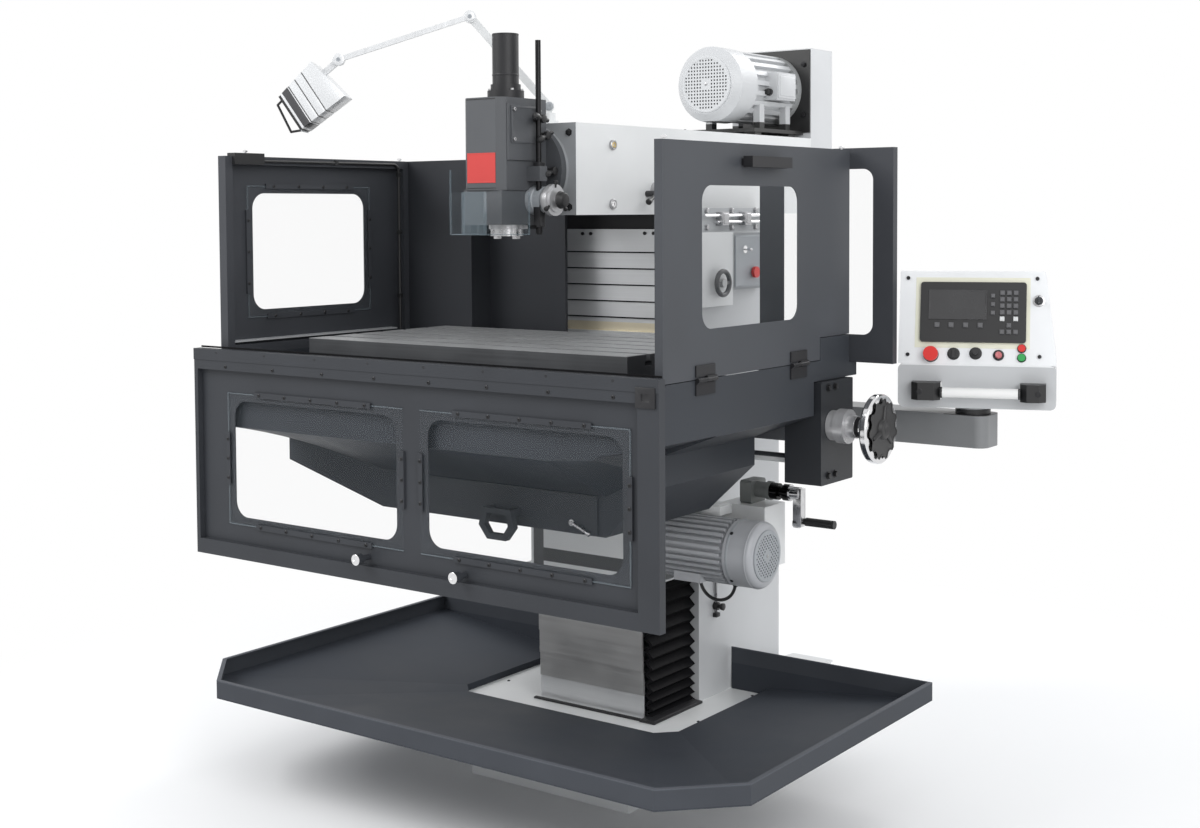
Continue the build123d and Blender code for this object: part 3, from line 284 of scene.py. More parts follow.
metal("brass", (0.62, 0.48, 0.22), 0.28, (90, 90, 90), 0.04)
paint("redField", (0.55, 0.035, 0.03), 0.35, 500, 0.06, 0.08, coat=0.2)
paint("lampLens", (0.55, 0.58, 0.6), 0.16, 260, 0.3, 0.12, coat=0.6)
paint("screenGlass", (0.022, 0.022, 0.024), 0.14, 120, 0.02, 0.2, coat=0.6, cloud=14)
paint("keyGrey", (0.1, 0.1, 0.105), 0.45, 900, 0.2)
paint("keyPale", (0.62, 0.63, 0.63), 0.4, 900, 0.15, 0.06)
paint("cream", (0.74, 0.73, 0.6), 0.4, 600, 0.1, 0.04)
paint("pinkPlastic", (0.55, 0.16, 0.17), 0.35, 500, 0.1)
paint("kneePaint", white, 0.35, 350, 0.12, 0.05, patches=(
    # painted shade: the white knee under the chip pan is coloured dark for the shade of the pan above it
    ((-0.66, -0.3, 0.99), (0.67, -0.13, 1.3), (0.07, 0.073, 0.08)),
    ((-0.18, -0.45, 0.62), (0.16, -0.2, 0.66), (0.03, 0.031, 0.034)),
    # painted shade: a dark strip down the left edge of the knee's front stands for the shade there
    ((-0.191, -0.45, 0.59), (-0.153, -0.2, 0.99), (0.05, 0.052, 0.056))))
paint("ramPaint", (0.76, 0.77, 0.77), 0.35, 350, 0.12, 0.05, patches=(
    # painted shade: the ram's front plate behind the head is coloured grey for the shade on it
    ((-0.2, -0.52, 1.6), (0.2, -0.4995, 1.95), (0.3, 0.31, 0.32)),
    ((0.1505, -0.3, 1.6), (0.3, -0.148, 1.8), (0.03, 0.03, 0.033)),
    ((0.1505, -0.147, 1.6), (0.3, -0.08, 1.8), (0.42, 0.42, 0.43)),
    ((0.1502, -0.36, 1.83), (0.3, -0.31, 1.87), (0.34, 0.34, 0.33)),
    ((0.1502, -0.36, 1.66), (0.3, -0.31, 1.7), (0.34, 0.34, 0.33))))
paint("motorPaint", (0.6, 0.61, 0.62), 0.35, 350, 0.12, 0.05, patches=(
    ((-0.2, 0.814, 1.9), (0.2, 0.822, 2.3), (0.02, 0.02, 0.02)),
    # painted shade: the grey band on the flange end of the main motor stands for the shade there
    ((-0.2, 0.775, 1.9303), (0.2, 0.8139, 2.3), (0.36, 0.37, 0.37)),
    ((-0.2, 0.4, 1.9), (0.2, 0.822, 1.9515), (0.02, 0.02, 0.02))))
# the arm's own mid grey is darkened further as painted shade from the panel housing above it
paint("armPaint", (0.19, 0.195, 0.2), 0.4, 350, 0.12, 0.08, patches=(
    ((0.95, 0.1, 1.0965), (1.08, 0.26, 1.112), (0.015, 0.015, 0.016)),))
paint("panelPaint", (0.5, 0.51, 0.52), 0.38, 350, 0.12, 0.05, place=(1.012, 0.18, 0), turn=(0, 0, 20), patches=(
    ((-0.3, -0.2, 1.2345), (0.3, 0.3, 1.6), (0.77, 0.78, 0.79)),
    ((-0.175, -0.2, 1.13), (-0.0815, -0.0653, 1.21), (0.014, 0.014, 0.015)),
    ((0.1285, -0.2, 1.13), (0.21, -0.0653, 1.21), (0.014, 0.014, 0.015)),
    ((-0.0812, -0.2, 1.13), (0.1283, -0.0653, 1.2), (0.78, 0.78, 0.77))))


def spin(degrees, axis):
    return Matrix.Rotation(math.radians(degrees), 4, axis)


def facing(axis):
    # turns what is built looking up to look along the axis
    return Vector(axis).to_track_quat("Z", "Y").to_matrix().to_4x4()


def around(degrees):
    # a direction square to the x axis
    return Vector((0, math.cos(math.radians(degrees)), math.sin(math.radians(degrees))))


def placed(piece, place):
    # moves a piece or a list of them
    for part in piece if isinstance(piece, list) else [piece]:
        part.data.transform(place)
    return piece


def setMode(mode):
    bpy.ops.object.mode_set(mode=mode)


def clearSelection():
    if bpy.context.object is not None and bpy.context.object.mode == "EDIT":
        setMode("OBJECT")
    bpy.ops.object.select_all(action="DESELECT")


def only(piece):
    clearSelection()
    piece.select_set(True)
    bpy.context.view_layer.objects.active = piece


def pick(piece, test, kind="polygons"):
    # selects the faces or the corners that pass the test, and leaves edit mode open
    only(piece)
    bpy.context.tool_settings.mesh_select_mode = (kind == "vertices", False, kind == "polygons")
    mesh = piece.data
    for elements in (mesh.vertices, mesh.edges, mesh.polygons):
        elements.foreach_set("select", [False] * len(elements))
    for element in getattr(mesh, kind):
        element.select = bool(test(element))
    setMode("EDIT")


def pickAll(piece):
    only(piece)
    setMode("EDIT")
    bpy.ops.mesh.select_all(action="SELECT")


def draw(way):
    # extrudes what is selected
    bpy.ops.mesh.extrude_region_move(TRANSFORM_OT_translate={"value": way})


def setMesh():
    # puts the place and size of a primitive just added into its mesh
    bpy.ops.object.transform_apply(location=True, rotation=True, scale=True)
    return bpy.context.object


def slab(low, high):
    # a cube added at its size and place, ready to be shaped
    clearSelection()
    middle = [(a + b) / 2 for a, b in zip(low, high)]
    size = [b - a for a, b in zip(low, high)]
    bpy.ops.mesh.primitive_cube_add(size=1, location=middle, scale=size)
    return setMesh()


def dished(low, high, side, rim, depth):
    # a slab with the face on that side inset and pushed in, or out with a negative depth
    piece = slab(low, high)
    way = Vector(side)
    pick(piece, lambda face: face.normal.dot(way) > 0.9)
    bpy.ops.mesh.inset(thickness=rim, depth=0)
    draw(way * -depth)
    setMode("OBJECT")
    return piece


def soften(piece, width, rows=2, angle=35):
    only(piece)
    edge = piece.modifiers.new("softEdge", "BEVEL")
    edge.width = width
    edge.segments = rows
    edge.limit_method = "ANGLE"
    edge.angle_limit = math.radians(angle)
    bpy.ops.object.modifier_apply(modifier=edge.name)


def turned(place, axis, steps, sides=32):
    # a circle drawn out along its axis, one (advance, radius) after the other
    clearSelection()
    way = Vector(axis).normalized()
    middle = Vector(place) + way * steps[0][0]
    radius = steps[0][1]
    bpy.ops.mesh.primitive_circle_add(vertices=sides, radius=radius, fill_type="NGON", location=middle,
            rotation=way.to_track_quat("Z", "Y").to_euler())
    piece = setMesh()
    pickAll(piece)
    for advance, nextRadius in steps[1:]:
        middle = middle + way * advance
        draw(way * advance)
        if nextRadius != radius:
            factor = nextRadius / radius
            bpy.ops.transform.resize(value=(factor, factor, factor), center_override=middle)
        radius = nextRadius
    setMode("OBJECT")
    return piece


def joined(parts):
    clearSelection()
    for part in parts:
        part.select_set(True)
    bpy.context.view_layer.objects.active = parts[0]
    if len(parts) > 1:
        bpy.ops.object.join()
    return parts[0]


def copied(master, spots):
    # one copy with its own mesh for each (place, axis), joined to one piece
    parts = []
    for place, axis in spots:
        part = master.copy()
        part.data = master.data.copy()
        bpy.context.scene.collection.objects.link(part)
        parts.append(placed(part, shift(place) @ facing(axis)))
    return joined(parts)


def setMaterial(piece, name):
    piece.data.materials.clear()
    piece.data.materials.append(bpy.data.materials[name])


def done(piece, name, material, body, edge=0.0, rows=2, smooth=35):
    # joins a list to one piece, softens its edges and lets it ride on its body
    if isinstance(piece, list):
        piece = joined(piece)
    if edge:
        soften(piece, edge, rows)
    pickAll(piece)
    bpy.ops.mesh.normals_make_consistent(inside=False)
    setMode("OBJECT")
    bpy.ops.object.shade_smooth_by_angle(angle=math.radians(smooth))
    piece.name = piece.data.name = name
    setMaterial(piece, material)
    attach(piece, body)
    return piece


nodeMaterials = {
    "whitePaint": "machine_base lamp_lower", "trayPaint": "coolant_tray", "columnPaint": "column",
    "turnedSteel": "z_screw", "guidePaint": "ram_guide", "controlPaint": "side_controls",
    "bellowsCloth": "side_bellows",
    "upperSteel": "fixed_laths knee_laths upper_lath_1 upper_lath_2 upper_lath_3 upper_lath_4",
    "ringPlastic": "side_ring", "redPlastic": "side_button e_stop stop_button", "kneePaint": "knee",
    "feedPaint": "z_motor", "gearGrey": "crank_gearbox", "gearPaint": "x_gearbox", "panPaint": "chip_pan",
    "leftPaint": "left_wall", "rearPaint": "rear_wall", "leftSheet": "left_pane",
    "blackPlastic": "interlock_cable crank_grip readout selector joystick", "tableIron": "table",
    "wheelSteel": "x_handwheel", "dialSteel": "x_screw quill_wheel", "crankSteel": "z_crank",
    "doorPaint": "front_door chip_drawer", "doorSheet": "door_panes", "flapPaint": "flap", "flapSheet": "flap_pane",
    "darkPaint": "rear_sash", "sashSheet": "sash_pane", "ramPaint": "ram", "beltPaint": "belt_housing",
    "motorPaint": "spindle_motor", "headPaint": "head", "blackPaint": "drawbar_cylinder", "quillSteel": "quill",
    "spindleSteel": "spindle", "guardSheet": "guard", "lampAlu": "lamp_upper", "lampPaint": "lamp_head",
    "armPaint": "panel_arm", "panelPaint": "panel_housing", "greenPlastic": "start_button", "keyBlack": "key",
    "lathSteel": "lower_lath_1 lower_lath_2 lower_lath_3",
}
for material, names in nodeMaterials.items():
    for name in names.split():
        setMaterial(nodes[name], material)
print("materials set:", sum(len(names.split()) for names in nodeMaterials.values()), "nodes")


def turnAll(table):
    # name: material, body, place, axis, sides, steps and, if need be, the width and rows of the softened edges
    for name, (material, body, place, axis, sides, steps, *edge) in table.items():
        done(turned(place, axis, steps, sides), name, material, body, *edge)


def plateAll(table):
    # name: material, body, low and high corner, dished side, its rim and depth, and the softened edges
    for name, (material, body, low, high, side, rim, depth, *edge) in table.items():
        done(dished(low, high, side, rim, depth), name, material, body, *edge)


screwShapes = {  # sides and steps
    "cap": (12, [(0, 0.0052), (0.00425, 0.0052), (0.00075, 0.004576), (0, 0.0026), (-0.003, 0.0026)]),
    "button": (12, [(0, 0.0052), (0.00096, 0.0052), (0.00144, 0.00312), (0, 0.00182), (-0.00168, 0.00182)]),
    "bolt": (6, [(0, 0.0108), (0.0014, 0.0108), (0, 0.008), (0.0055, 0.008), (0.0008, 0.0064)]),
}
screwMasters = {kind: turned((0, 0, 0), toTop, steps, sides) for kind, (sides, steps) in screwShapes.items()}


def screws(kind, name, spots, material, body):
    return done(copied(screwMasters[kind], spots), name, material, body, smooth=30)


def screwAll(table):
    # name: kind, material, body, axis and the x, y and z of the screws
    for name, (kind, material, body, toward, *places) in table.items():
        screws(kind, name, [(place, toward) for place in itertools.product(*places)], material, body)


screwRows = {
    "mainMotorBolts": ("bolt", "screwBlack", "ram_body", toFront, (-0.126, 0.126), (0.8145,), (1.985, 2.155)),
    "headCoverScrews": ("cap", "screwSteel", "head_body", toRight, (0.0802,), (-0.68, -0.572), (1.855, 1.935)),
    "guardScrews": ("button", "screwBlack", "guard_body", toRight, (-0.0978,), (-0.64,), (1.762, 1.64)),
    "guideBolts": ("bolt", "screwSteel", "base", toRight, (0.2402,), (0.02, 0.16, 0.3, 0.42), (1.612, 1.662)),
    "ramTopScrews": ("button", "screwBlack", "ram_body", toTop, (-0.108, 0.108), (0.107, 0.25, 0.393), (1.9075,)),
    "ramPlateScrews": ("bolt", "screwBlack", "ram_body", toFront, (0.127, -0.127), (-0.5,), (1.878, 1.674)),
    "beltCoverScrews": ("cap", "screwBlack", "ram_body", toBack, (-0.128, 0.128), (0.9742,),
            (1.69, 1.855, 2.02, 2.18)),
    "gearboxScrews": ("bolt", "screwBlack", "knee_body", toRight, (0.775,), (-0.222, -0.183), (1.19, 0.955)),
    "columnCoverScrews": ("button", "screwBlack", "base", toBack, (-0.199, 0.199), (0.4615,),
            (0.37, 0.61, 0.85, 0.91, 1.18, 1.45)),
}
screwAll(screwRows)


doorParts = {"face": -1.04, "skin": -1.0302, "rows": ((-0.7, 0.66, 1.274), (-0.665, 0.66, 1.236)),
             "windows": ((-0.672, -0.012), (0.049, 0.699)), "low": 0.796, "high": 1.164}
doorPlates = {
    "doorEndBracket": ("blackPaint", "door_body", (0.724, -1.0445, 1.216), (0.778, -1.0395, 1.264), toFront, 0.016,
            0.003, 0.0012),
    "doorTopBrush": ("bellowsCloth", "door_body", (-0.79, -1.0185, 1.2845), (0.78, -1.0165, 1.2895), toTop, 0.0004,
            0.0015, 0.0003, 1),
}


def spread(first, last, count):
    return [first + (last - first) * k / (count - 1) for k in range(count)]


def buildDoorParts():
    d = doorParts
    plateAll(doorPlates)
    spots = [((x, d["face"], z), toFront) for x0, x1, z in d["rows"] for x in spread(x0, x1, 8)]
    screws("button", "doorBandScrews", spots, "screwBlack", "door_body")
    spots = []
    for left, right in d["windows"]:
        for x in spread(left + 0.13, right - 0.13, 5):
            spots += [((x, d["skin"], z), toFront) for z in (d["low"] + 0.0015, d["high"] - 0.0015)]
        for z in spread(d["low"] + 0.13, d["high"] - 0.13, 3):
            spots += [((x, d["skin"], z), toFront) for x in (left + 0.0015, right - 0.0015)]
    screws("button", "doorStripScrews", spots, "screwBlack", "door_body")
    knobs = [turned((x, -1.0702, z), toFront, [(0, 0.0144), (0.002, 0.0144), (0.001, 0.0125), (0, 0.007),
            (-0.0015, 0.006)], 28) for x, z in ((-0.139, 0.766), (0.194, 0.762))]
    done(knobs, "doorKnobCaps", "chromePlate", "door_body")


stripRuns = {  # square axis, plane, range along it, range of height, body, direction
    "leftWall": ("x", -0.7358, (-0.886, -0.39), (1.361, 1.741), "knee_body", toRight),
    "flap": ("x", 0.7518, (-0.84, -0.34), (1.36, 1.743), "flap_body", (-1, 0, 0)),
    "sash": ("y", -0.0508, (0.532, 0.84), (1.306, 1.789), "sash_body", toBack),
}


def buildStripScrews():
    for name, (axis, plane, (a0, a1), (z0, z1), body, toward) in stripRuns.items():
        flat = [(a, z) for a in spread(a0 + 0.1, a1 - 0.1, 4) for z in (z0 + 0.0015, z1 - 0.0015)]
        flat += [(a, z) for z in spread(z0 + 0.1, z1 - 0.1, 3) for a in (a0 + 0.0015, a1 - 0.0015)]
        spots = [((plane, a, z) if axis == "x" else (a, plane, z), toward) for a, z in flat]
        screws("button", name + "StripScrews", spots, "screwBlack", body)


grilles = {  # middle, axis, radius, cell, turn, material of the ring and body
    "feedMotorGrille": ((0.562, -0.18, 0.705), toRight, 0.066, 0.005, 45, "greyPaint", "knee_body"),
    "mainMotorGrille": ((0, 0.4, 2.07), toFront, 0.086, 0.0054, 0, "motorPaint", "ram_body"),
}


def grille(name, middle, axis, radius, cell, turn, ringMaterial, body):
    # a square grid with every second cell of every second row taken out, over a black disc
    way = Vector(axis)
    cells = int(2 * radius / cell) // 2 * 2 + 1
    clearSelection()
    bpy.ops.mesh.primitive_grid_add(x_subdivisions=cells, y_subdivisions=cells, size=cells * cell)
    sheet = bpy.context.object
    half = cells * cell / 2
    blank = cell * 3.2

    def taken(face):
        place = face.center
        column = int((place.x + half) / cell)
        row = int((place.y + half) / cell)
        away = math.hypot(place.x, place.y)
        isHole = column % 2 == 1 and row % 2 == 1 and away < radius - cell * 0.8
        isPlain = max(abs(place.x), abs(place.y)) < blank
        return (isHole and not isPlain) or away > radius + cell * 0.2

    pick(sheet, taken)
    bpy.ops.mesh.delete(type="FACE")
    setMode("OBJECT")
    solid = sheet.modifiers.new("sheetWall", "SOLIDIFY")
    solid.thickness = 0.0015
    solid.offset = 0
    bpy.ops.object.modifier_apply(modifier=solid.name)
    placed(sheet, shift(Vector(middle) + way * 0.003) @ facing(axis) @ spin(turn, "Z"))
    ring = turned(Vector(middle), way, [(0, radius + 0.006), (0.0032, radius + 0.006), (0.0014, radius + 0.003),
            (0, radius - 0.004), (-0.003, radius - 0.004)], 48)
    done([ring, sheet], name, ringMaterial, body, smooth=25)
    done(turned(Vector(middle) + way * 0.0003, way, [(0, radius - 0.001), (0.001, radius - 0.001),
            (0.0004, radius - 0.003), (0, 0.012), (0.0002, 0.01)], 40), name + "Dark", "blackPlastic", body)
    done(turned(Vector(middle) + way * 0.0035, way, [(0, 0.005), (0.0012, 0.005), (0.0006, 0.0035), (0, 0.0015),
            (-0.001, 0.0012)], 16), name + "Screw", "turnedSteel", body)


motorsTurned = {
    "feedMotorBand": ("greyPaint", "knee_body", (0.482, -0.18, 0.705), toRight, 64,
            [(0, 0.0932), (0.001, 0.0938), (0.006, 0.0938), (0.001, 0.0932)]),
    "mainMotorGland": ("blackPlastic", "ram_body", (0.12, 0.598, 2.05), toFront, 16,
            [(0, 0.012), (0.01, 0.012), (0.001, 0.009), (0.012, 0.009), (0.002, 0.006)]),
    "feedMotorCowlEdge": ("feedPaint", "knee_body", (0.5398, -0.18, 0.705), toRight, 64,
            [(0, 0.0925), (0.0006, 0.0942), (0.005, 0.0944), (0.0006, 0.0932), (0.0042, 0.0926), (0.0039, 0.0904),
            (0.0034, 0.0868), (0.0026, 0.0822), (0.0016, 0.0768), (0.0006, 0.0712), (-0.0015, 0.0705)]),
}
motorsPlates = {
    "feedMotorBox": ("whitePaint", "knee_body", (0.318, -0.158, 0.795), (0.398, -0.095, 0.822), toTop, 0.006, -0.004,
            0.003),
    "mainMotorBoxLid": ("motorPaint", "ram_body", (0.1455, 0.604, 2.03), (0.1505, 0.716, 2.11), toRight, 0.008, -0.003,
            0.002),
}


def buildMotors():
    turnAll(motorsTurned)
    plateAll(motorsPlates)
    for name, values in grilles.items():
        grille(name, *values)
    spots = [(Vector((0.49, -0.18, 0.705)) + around(a) * 0.0936, around(a)) for a in (45, 135, 225, 315)]
    screws("button", "feedMotorScrews", spots, "screwBlack", "knee_body")


headParts = {"levers": (((0.071, -0.59, 1.912), 0.035, 0.055, 8), ((0.071, -0.565, 1.868), 0.03, 0.06, -18),
                        ((0.071, -0.545, 1.772), 0.036, 0.06, -14)),
             "stops": ((1.765, 1.795), (1.62, 1.68))}


def makeLever(place, reach, length, tilt):
    # a bushed stub with a cross bar and a ball at its end
    x, y, z = place
    stub = turned(place, toRight, [(0, 0.013), (0.006, 0.013), (0.001, 0.009), (reach - 0.012, 0.0085),
            (0.001, 0.0115), (0.011, 0.0115), (0.001, 0.009)], 20)
    way = (Vector((0.15, 0, 0)) + around(180 - tilt)).normalized()
    start = Vector((x + reach, y, z)) - way * length * 0.5
    bar = turned(start, way, [(0, 0.005), (0.001, 0.0062), (length * 0.5, 0.0056), (length * 0.42, 0.0052),
            (0.001, 0.0088), (0.01, 0.0104), (0.008, 0.0075), (0.003, 0.003)], 16)
    return [stub, bar]


headTurned = {
    "cylinderLid": ("blackPaint", "head_body", (0, -0.616, 2.144), toTop, 40,
            [(-0.004, 0.0365), (0.003, 0.0365), (0.0012, 0.034), (0, 0.012), (-0.001, 0.01)]),
    "cylinderBand": ("blackPaint", "head_body", (0, -0.616, 2.03), toTop, 48,
            [(0, 0.0362), (0.001, 0.0368), (0.003, 0.0368), (0.001, 0.0362)]),
    "swivelScale": ("turnedSteel", "ram_body", (0, -0.5108, 1.776), toFront, 72,
            [(0, 0.118), (0.0016, 0.118), (0.0006, 0.1165), (0, 0.102), (-0.0006, 0.1)]),
    "quillKnob": ("blackPlastic", "quill_wheel_body", (0.1575, -0.58, 1.693), toRight, 32,
            [(0, 0.024), (0.003, 0.024), (0.002, 0.0205), (0.01, 0.0195), (0.003, 0.0165)], 0.001),
    "quillDial": ("greyPaint", "head_body", (0.0662, -0.58, 1.693), toRight, 48,
            [(0, 0.04), (0.02, 0.04), (0.002, 0.037), (0.022, 0.037), (0.002, 0.033)]),
}
headPlates = {
    "headCover": ("headPaint", "head_body", (0.0768, -0.69, 1.845), (0.0802, -0.562, 1.945), toRight, 0.006, 0.001,
            0.001),
    "headRedField": ("redField", "head_body", (-0.048, -0.7234, 1.739), (0.05, -0.7216, 1.819), toFront, 0.003, 0.0004,
            0.0004, 1),
}


def buildHeadParts():
    turnAll(headTurned)
    plateAll(headPlates)
    h = headParts
    levers = [part for lever in h["levers"] for part in makeLever(*lever)]
    done(levers, "headLevers", "blackPlastic", "head_body")
    blocks = [dished((0.09, -0.612, low), (0.112, -0.588, high), toRight, 0.004, 0.002) for low, high in h["stops"]]
    done(blocks, "depthStops", "blackPaint", "quill_body", 0.0015)
    radius = 0.04352
    spots = [((radius * math.cos(a), radius * math.sin(a) - 0.616, 1.99), toTop) for a in spread(0.5, 5.8, 4)]
    screws("cap", "cylinderScrews", spots, "screwSteel", "head_body")
    seams = [dished((-0.05, -0.7226, z - 0.0012), (0.05, -0.7212, z + 0.0012), toFront, 0.0006, 0.0003)
            for z in (1.962, 1.725)]
    done(seams, "headSeams", "blackPaint", "head_body", 0.0003, 1)
    ways = [(Vector((0.12, 0, 0)) + around(a)).normalized() for a in (90, 210, 330)]
    grips = [turned(Vector((0.136, -0.58, 1.693)) + way * 0.012, way,
            [(0, 0.004), (0.03, 0.0035), (0.001, 0.006), (0.008, 0.0068), (0.002, 0.004)], 14) for way in ways]
    done(grips, "quillSpokes", "blackPlastic", "quill_wheel_body")


ramPlugs = {"brassPlug": ((0.156, -0.331, 1.848), "brass"), "chromePlug": ((0.156, -0.332, 1.682), "chromePlate")}
ramTurned = {
    "ramLockDial": ("blackPlastic", "ram_body", (0.176, -0.117, 1.723), toRight, 32,
            [(0, 0.0135), (0.006, 0.0135), (0.001, 0.012), (0.01, 0.011), (0.001, 0.0095), (0, 0.004),
            (-0.001, 0.003)]),
    "ramLockLever": ("blackPlastic", "ram_body", (0.186, -0.1645, 1.708), (0.25, -1, -0.34), 16,
            [(0, 0.0065), (0.05, 0.0048), (0.001, 0.008), (0.014, 0.009), (0.003, 0.006)]),
    "guideLever": ("turnedSteel", "base", (0.2402, -0.03, 1.6205), (0.12, -1, 0.04), 18,
            [(0, 0.008), (0.004, 0.008), (0.001, 0.0055), (0.11, 0.0048), (0.001, 0.0085), (0.022, 0.0095),
            (0.003, 0.006)]),
}
ramPlates = {
    "ramTopCover": ("whitePaint", "ram_body", (-0.115, 0.1, 1.9048), (0.115, 0.4, 1.9075), toTop, 0.012, 0.001, 0.001),
    "beltCover": ("whitePaint", "ram_body", (-0.135, 0.9708, 1.68), (0.135, 0.9742, 2.19), toBack, 0.014, 0.0012,
            0.0012),
}


def buildRamParts():
    turnAll(ramTurned)
    plateAll(ramPlates)
    for name, (place, material) in ramPlugs.items():
        done(turned(place, toRight, [(-0.005, 0.0142), (0.0066, 0.0142), (0.001, 0.013), (0, 0.0098),
                (-0.0012, 0.0094)], 32), name + "Ring", "screwSteel", "ram_body")
        done(turned(place, toRight, [(0, 0.0092), (0.0018, 0.0092), (0.0006, 0.0084), (0, 0.0048),
                (-0.0016, 0.0044)], 6), name, material, "ram_body")
    spots = [((x, -0.062, z), toFront) for x, z in ((-0.155, 1.594), (-0.124, 1.594), (0.076, 1.596), (0.108, 1.596))]
    screws("cap", "lathScrews", spots, "screwBlack", "base")
    rods = [turned((0.2535, y, z), toBack, [(0, 0.004), (0.001, 0.005), (length, 0.005), (0.001, 0.004)], 18)
            for y, z, length in ((-0.01, 1.6475, 0.4), (0.06, 1.6285, 0.24))]
    done(rods, "clampRods", "chromePlate", "base")
    clamps = [dished((0.24, y, 1.618), (0.264, y + 0.036, 1.658), toRight, 0.005, -0.003)
            for y in (0.075, 0.205, 0.345)]
    done(clamps, "rodClamps", "screwSteel", "base", 0.002)
    vents = [dished((-0.055, 0.973, z), (0.055, 0.976, z + 0.007), toBack, 0.0016, 0.0022)
            for z in spread(1.735, 1.837, 7)]
    done(vents, "beltVents", "blackPlastic", "ram_body", 0.0004, 1)


lampParts = {"turn": 216.2, "root": (0.02, -0.45, 0), "joint": (0.586, 2.088), "neckEnd": (0.64, 2.0434),
             "grooves": (-0.037, -0.062, -0.088), "middle": (0.7145, -0.006, 1.937), "lean": (-0.059, 0, -0.092),
             "handle": ((-0.052, 0, 0.002), (-0.047, 0, 0.024), (0.036, 0, 0.034), (0.05, 0, 0.002))}


def makeLampShell():
    # the ribbed housing behind the glass: x down the glass, z out of it
    shell = slab((-0.055, -0.0712, -0.141), (0.055, 0.0712, -0.005))
    for side, way in ((-1, (-0.031, 0, 0.013)), (1, (-0.0115, 0, -0.0135))):
        pick(shell, lambda corner: corner.co.z < -0.1 and corner.co.x * side > 0, "vertices")
        bpy.ops.transform.translate(value=way)
        setMode("OBJECT")
    grooves = lampParts["grooves"]
    for z in grooves:
        for edge in (z, z - 0.0022):
            pickAll(shell)
            bpy.ops.mesh.bisect(plane_co=(0, 0, edge), plane_no=toTop)
            setMode("OBJECT")
    pick(shell, lambda face: abs(face.normal.z) < 0.6 and any(z - 0.0022 < face.center.z < z for z in grooves))
    bpy.ops.mesh.inset(thickness=0.0001, depth=-0.0016)
    setMode("OBJECT")
    return shell


def buildLampParts():
    p = lampParts
    lampTurn = shift(p["root"]) @ spin(p["turn"], "Z")

    def add(piece, name, material, *edge, place=lampTurn, body="lamp_head_body"):
        return done(placed(piece, place), name, material, body, *edge)

    for name, s, z, radius in (("lampElbowCap", 0.219, 2.205, 0.0135), ("lampJointCap", *p["joint"], 0.0168)):
        add(turned((s, 0.0121, z), toBack, [(0, radius), (0.0025, radius), (0.001, radius * 0.85), (0, 0.005),
                (-0.0015, 0.0045)], 28), name, "lampAlu", body="lamp_upper_body")
        add(turned((s, 0.0153, z), toBack, [(0, 0.0062), (0.0008, 0.0062), (0.0006, 0.005), (0, 0.0028),
                (-0.001, 0.0025)], 12), name + "Screw", "greyPaint", body="lamp_upper_body")
    add(turned((0, 0.0119, 1.955), toBack, [(0, 0.012), (0.003, 0.012), (0.001, 0.01), (0, 0.004), (-0.001, 0.0035)],
            24), "lampBaseCap", "greyPaint", body="ram_body")
    along = Vector(p["lean"]).normalized()
    side = Vector(toBack)
    out = along.cross(side).normalized()
    headTurn = lampTurn @ shift(p["middle"]) @ Matrix((along, side, out)).transposed().to_4x4()
    add(dished((-0.058, -0.05, 0.0002), (0.058, 0.05, 0.0022), toTop, 0.003, 0.0004), "lampGlass", "lampLens",
            place=headTurn)
    add(dished((-0.0535, -0.071, -0.0054), (0.0535, 0.071, 0.001), toTop, 0.008, 0.003), "lampRim", "blackPlastic",
            0.001, place=headTurn)
    shell = add(makeLampShell(), "lampShell", "lampPaint", 0.0012, place=headTurn)
    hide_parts("lamp_head")
    (x0, z0), (x1, z1) = p["joint"], p["neckEnd"]
    neck = placed(slab((0, -0.0138, -0.009), (math.hypot(x1 - x0, z1 - z0), -0.002, 0.009)),
            shift((x0, 0, z0)) @ Matrix.Rotation(math.atan2(z0 - z1, x1 - x0), 4, "Y"))
    disc = turned((x0, -0.014, z0), toBack, [(0, 0.0148), (0.0012, 0.016), (0.0116, 0.016), (0.0012, 0.0148)], 32)
    add([neck, disc], "lampNeck", "lampAlu", 0.0008)
    corners = [Vector(c) for c in p["handle"]]
    bars = [turned(a, b - a, [(-0.002, 0.0026), (0.001, 0.0034), ((b - a).length + 0.002, 0.0034), (0.001, 0.0026)],
            14) for a, b in zip(corners, corners[1:])]
    add(bars, "lampHandle", "blackPlastic", place=headTurn)
    clamp = [turned((-0.02, -0.069, -0.02), toFront, [(0, 0.011), (0.006, 0.011), (0.001, 0.006), (0.01, 0.005)], 16),
            turned((-0.034, -0.083, -0.02), toRight, [(0, 0.003), (0.002, 0.0042), (0.024, 0.0042), (0.002, 0.003)],
            12)]
    add(clamp, "lampClamp", "blackPlastic", place=headTurn)


panelParts = {"turn": shift((1.012, 0.18, 0)) @ spin(20, "Z"), "tilt": 15, "foot": (-0.063, 1.238),
              "columns": (0.078, 0.096, 0.114), "rows": (1.325, 1.3425, 1.36, 1.3775, 1.395, 1.4125, 1.43),
              "sideKeys": (1.422, 1.399, 1.376), "softKeys": (-0.096, -0.058, -0.019, 0.02),
              "screws": ((-0.178, 1.471), (0.17, 1.471), (-0.174, 1.262), (0.178, 1.262)),
              "bases": ((-0.111, 1.263, 0.021), (-0.05, 1.266, 0.017), (0.009, 1.268, 0.017), (0.07, 1.264, 0.015))}


def up(z):
    return (z - panelParts["foot"][1]) / math.cos(math.radians(panelParts["tilt"]))


def keyCap(x, z, half=0.0062):
    cap = dished((x - half, -0.0142, up(z) - half), (x + half, -0.0098, up(z) + half), toFront, 0.0012, -0.0008)
    soften(cap, 0.0006, 1)
    return cap


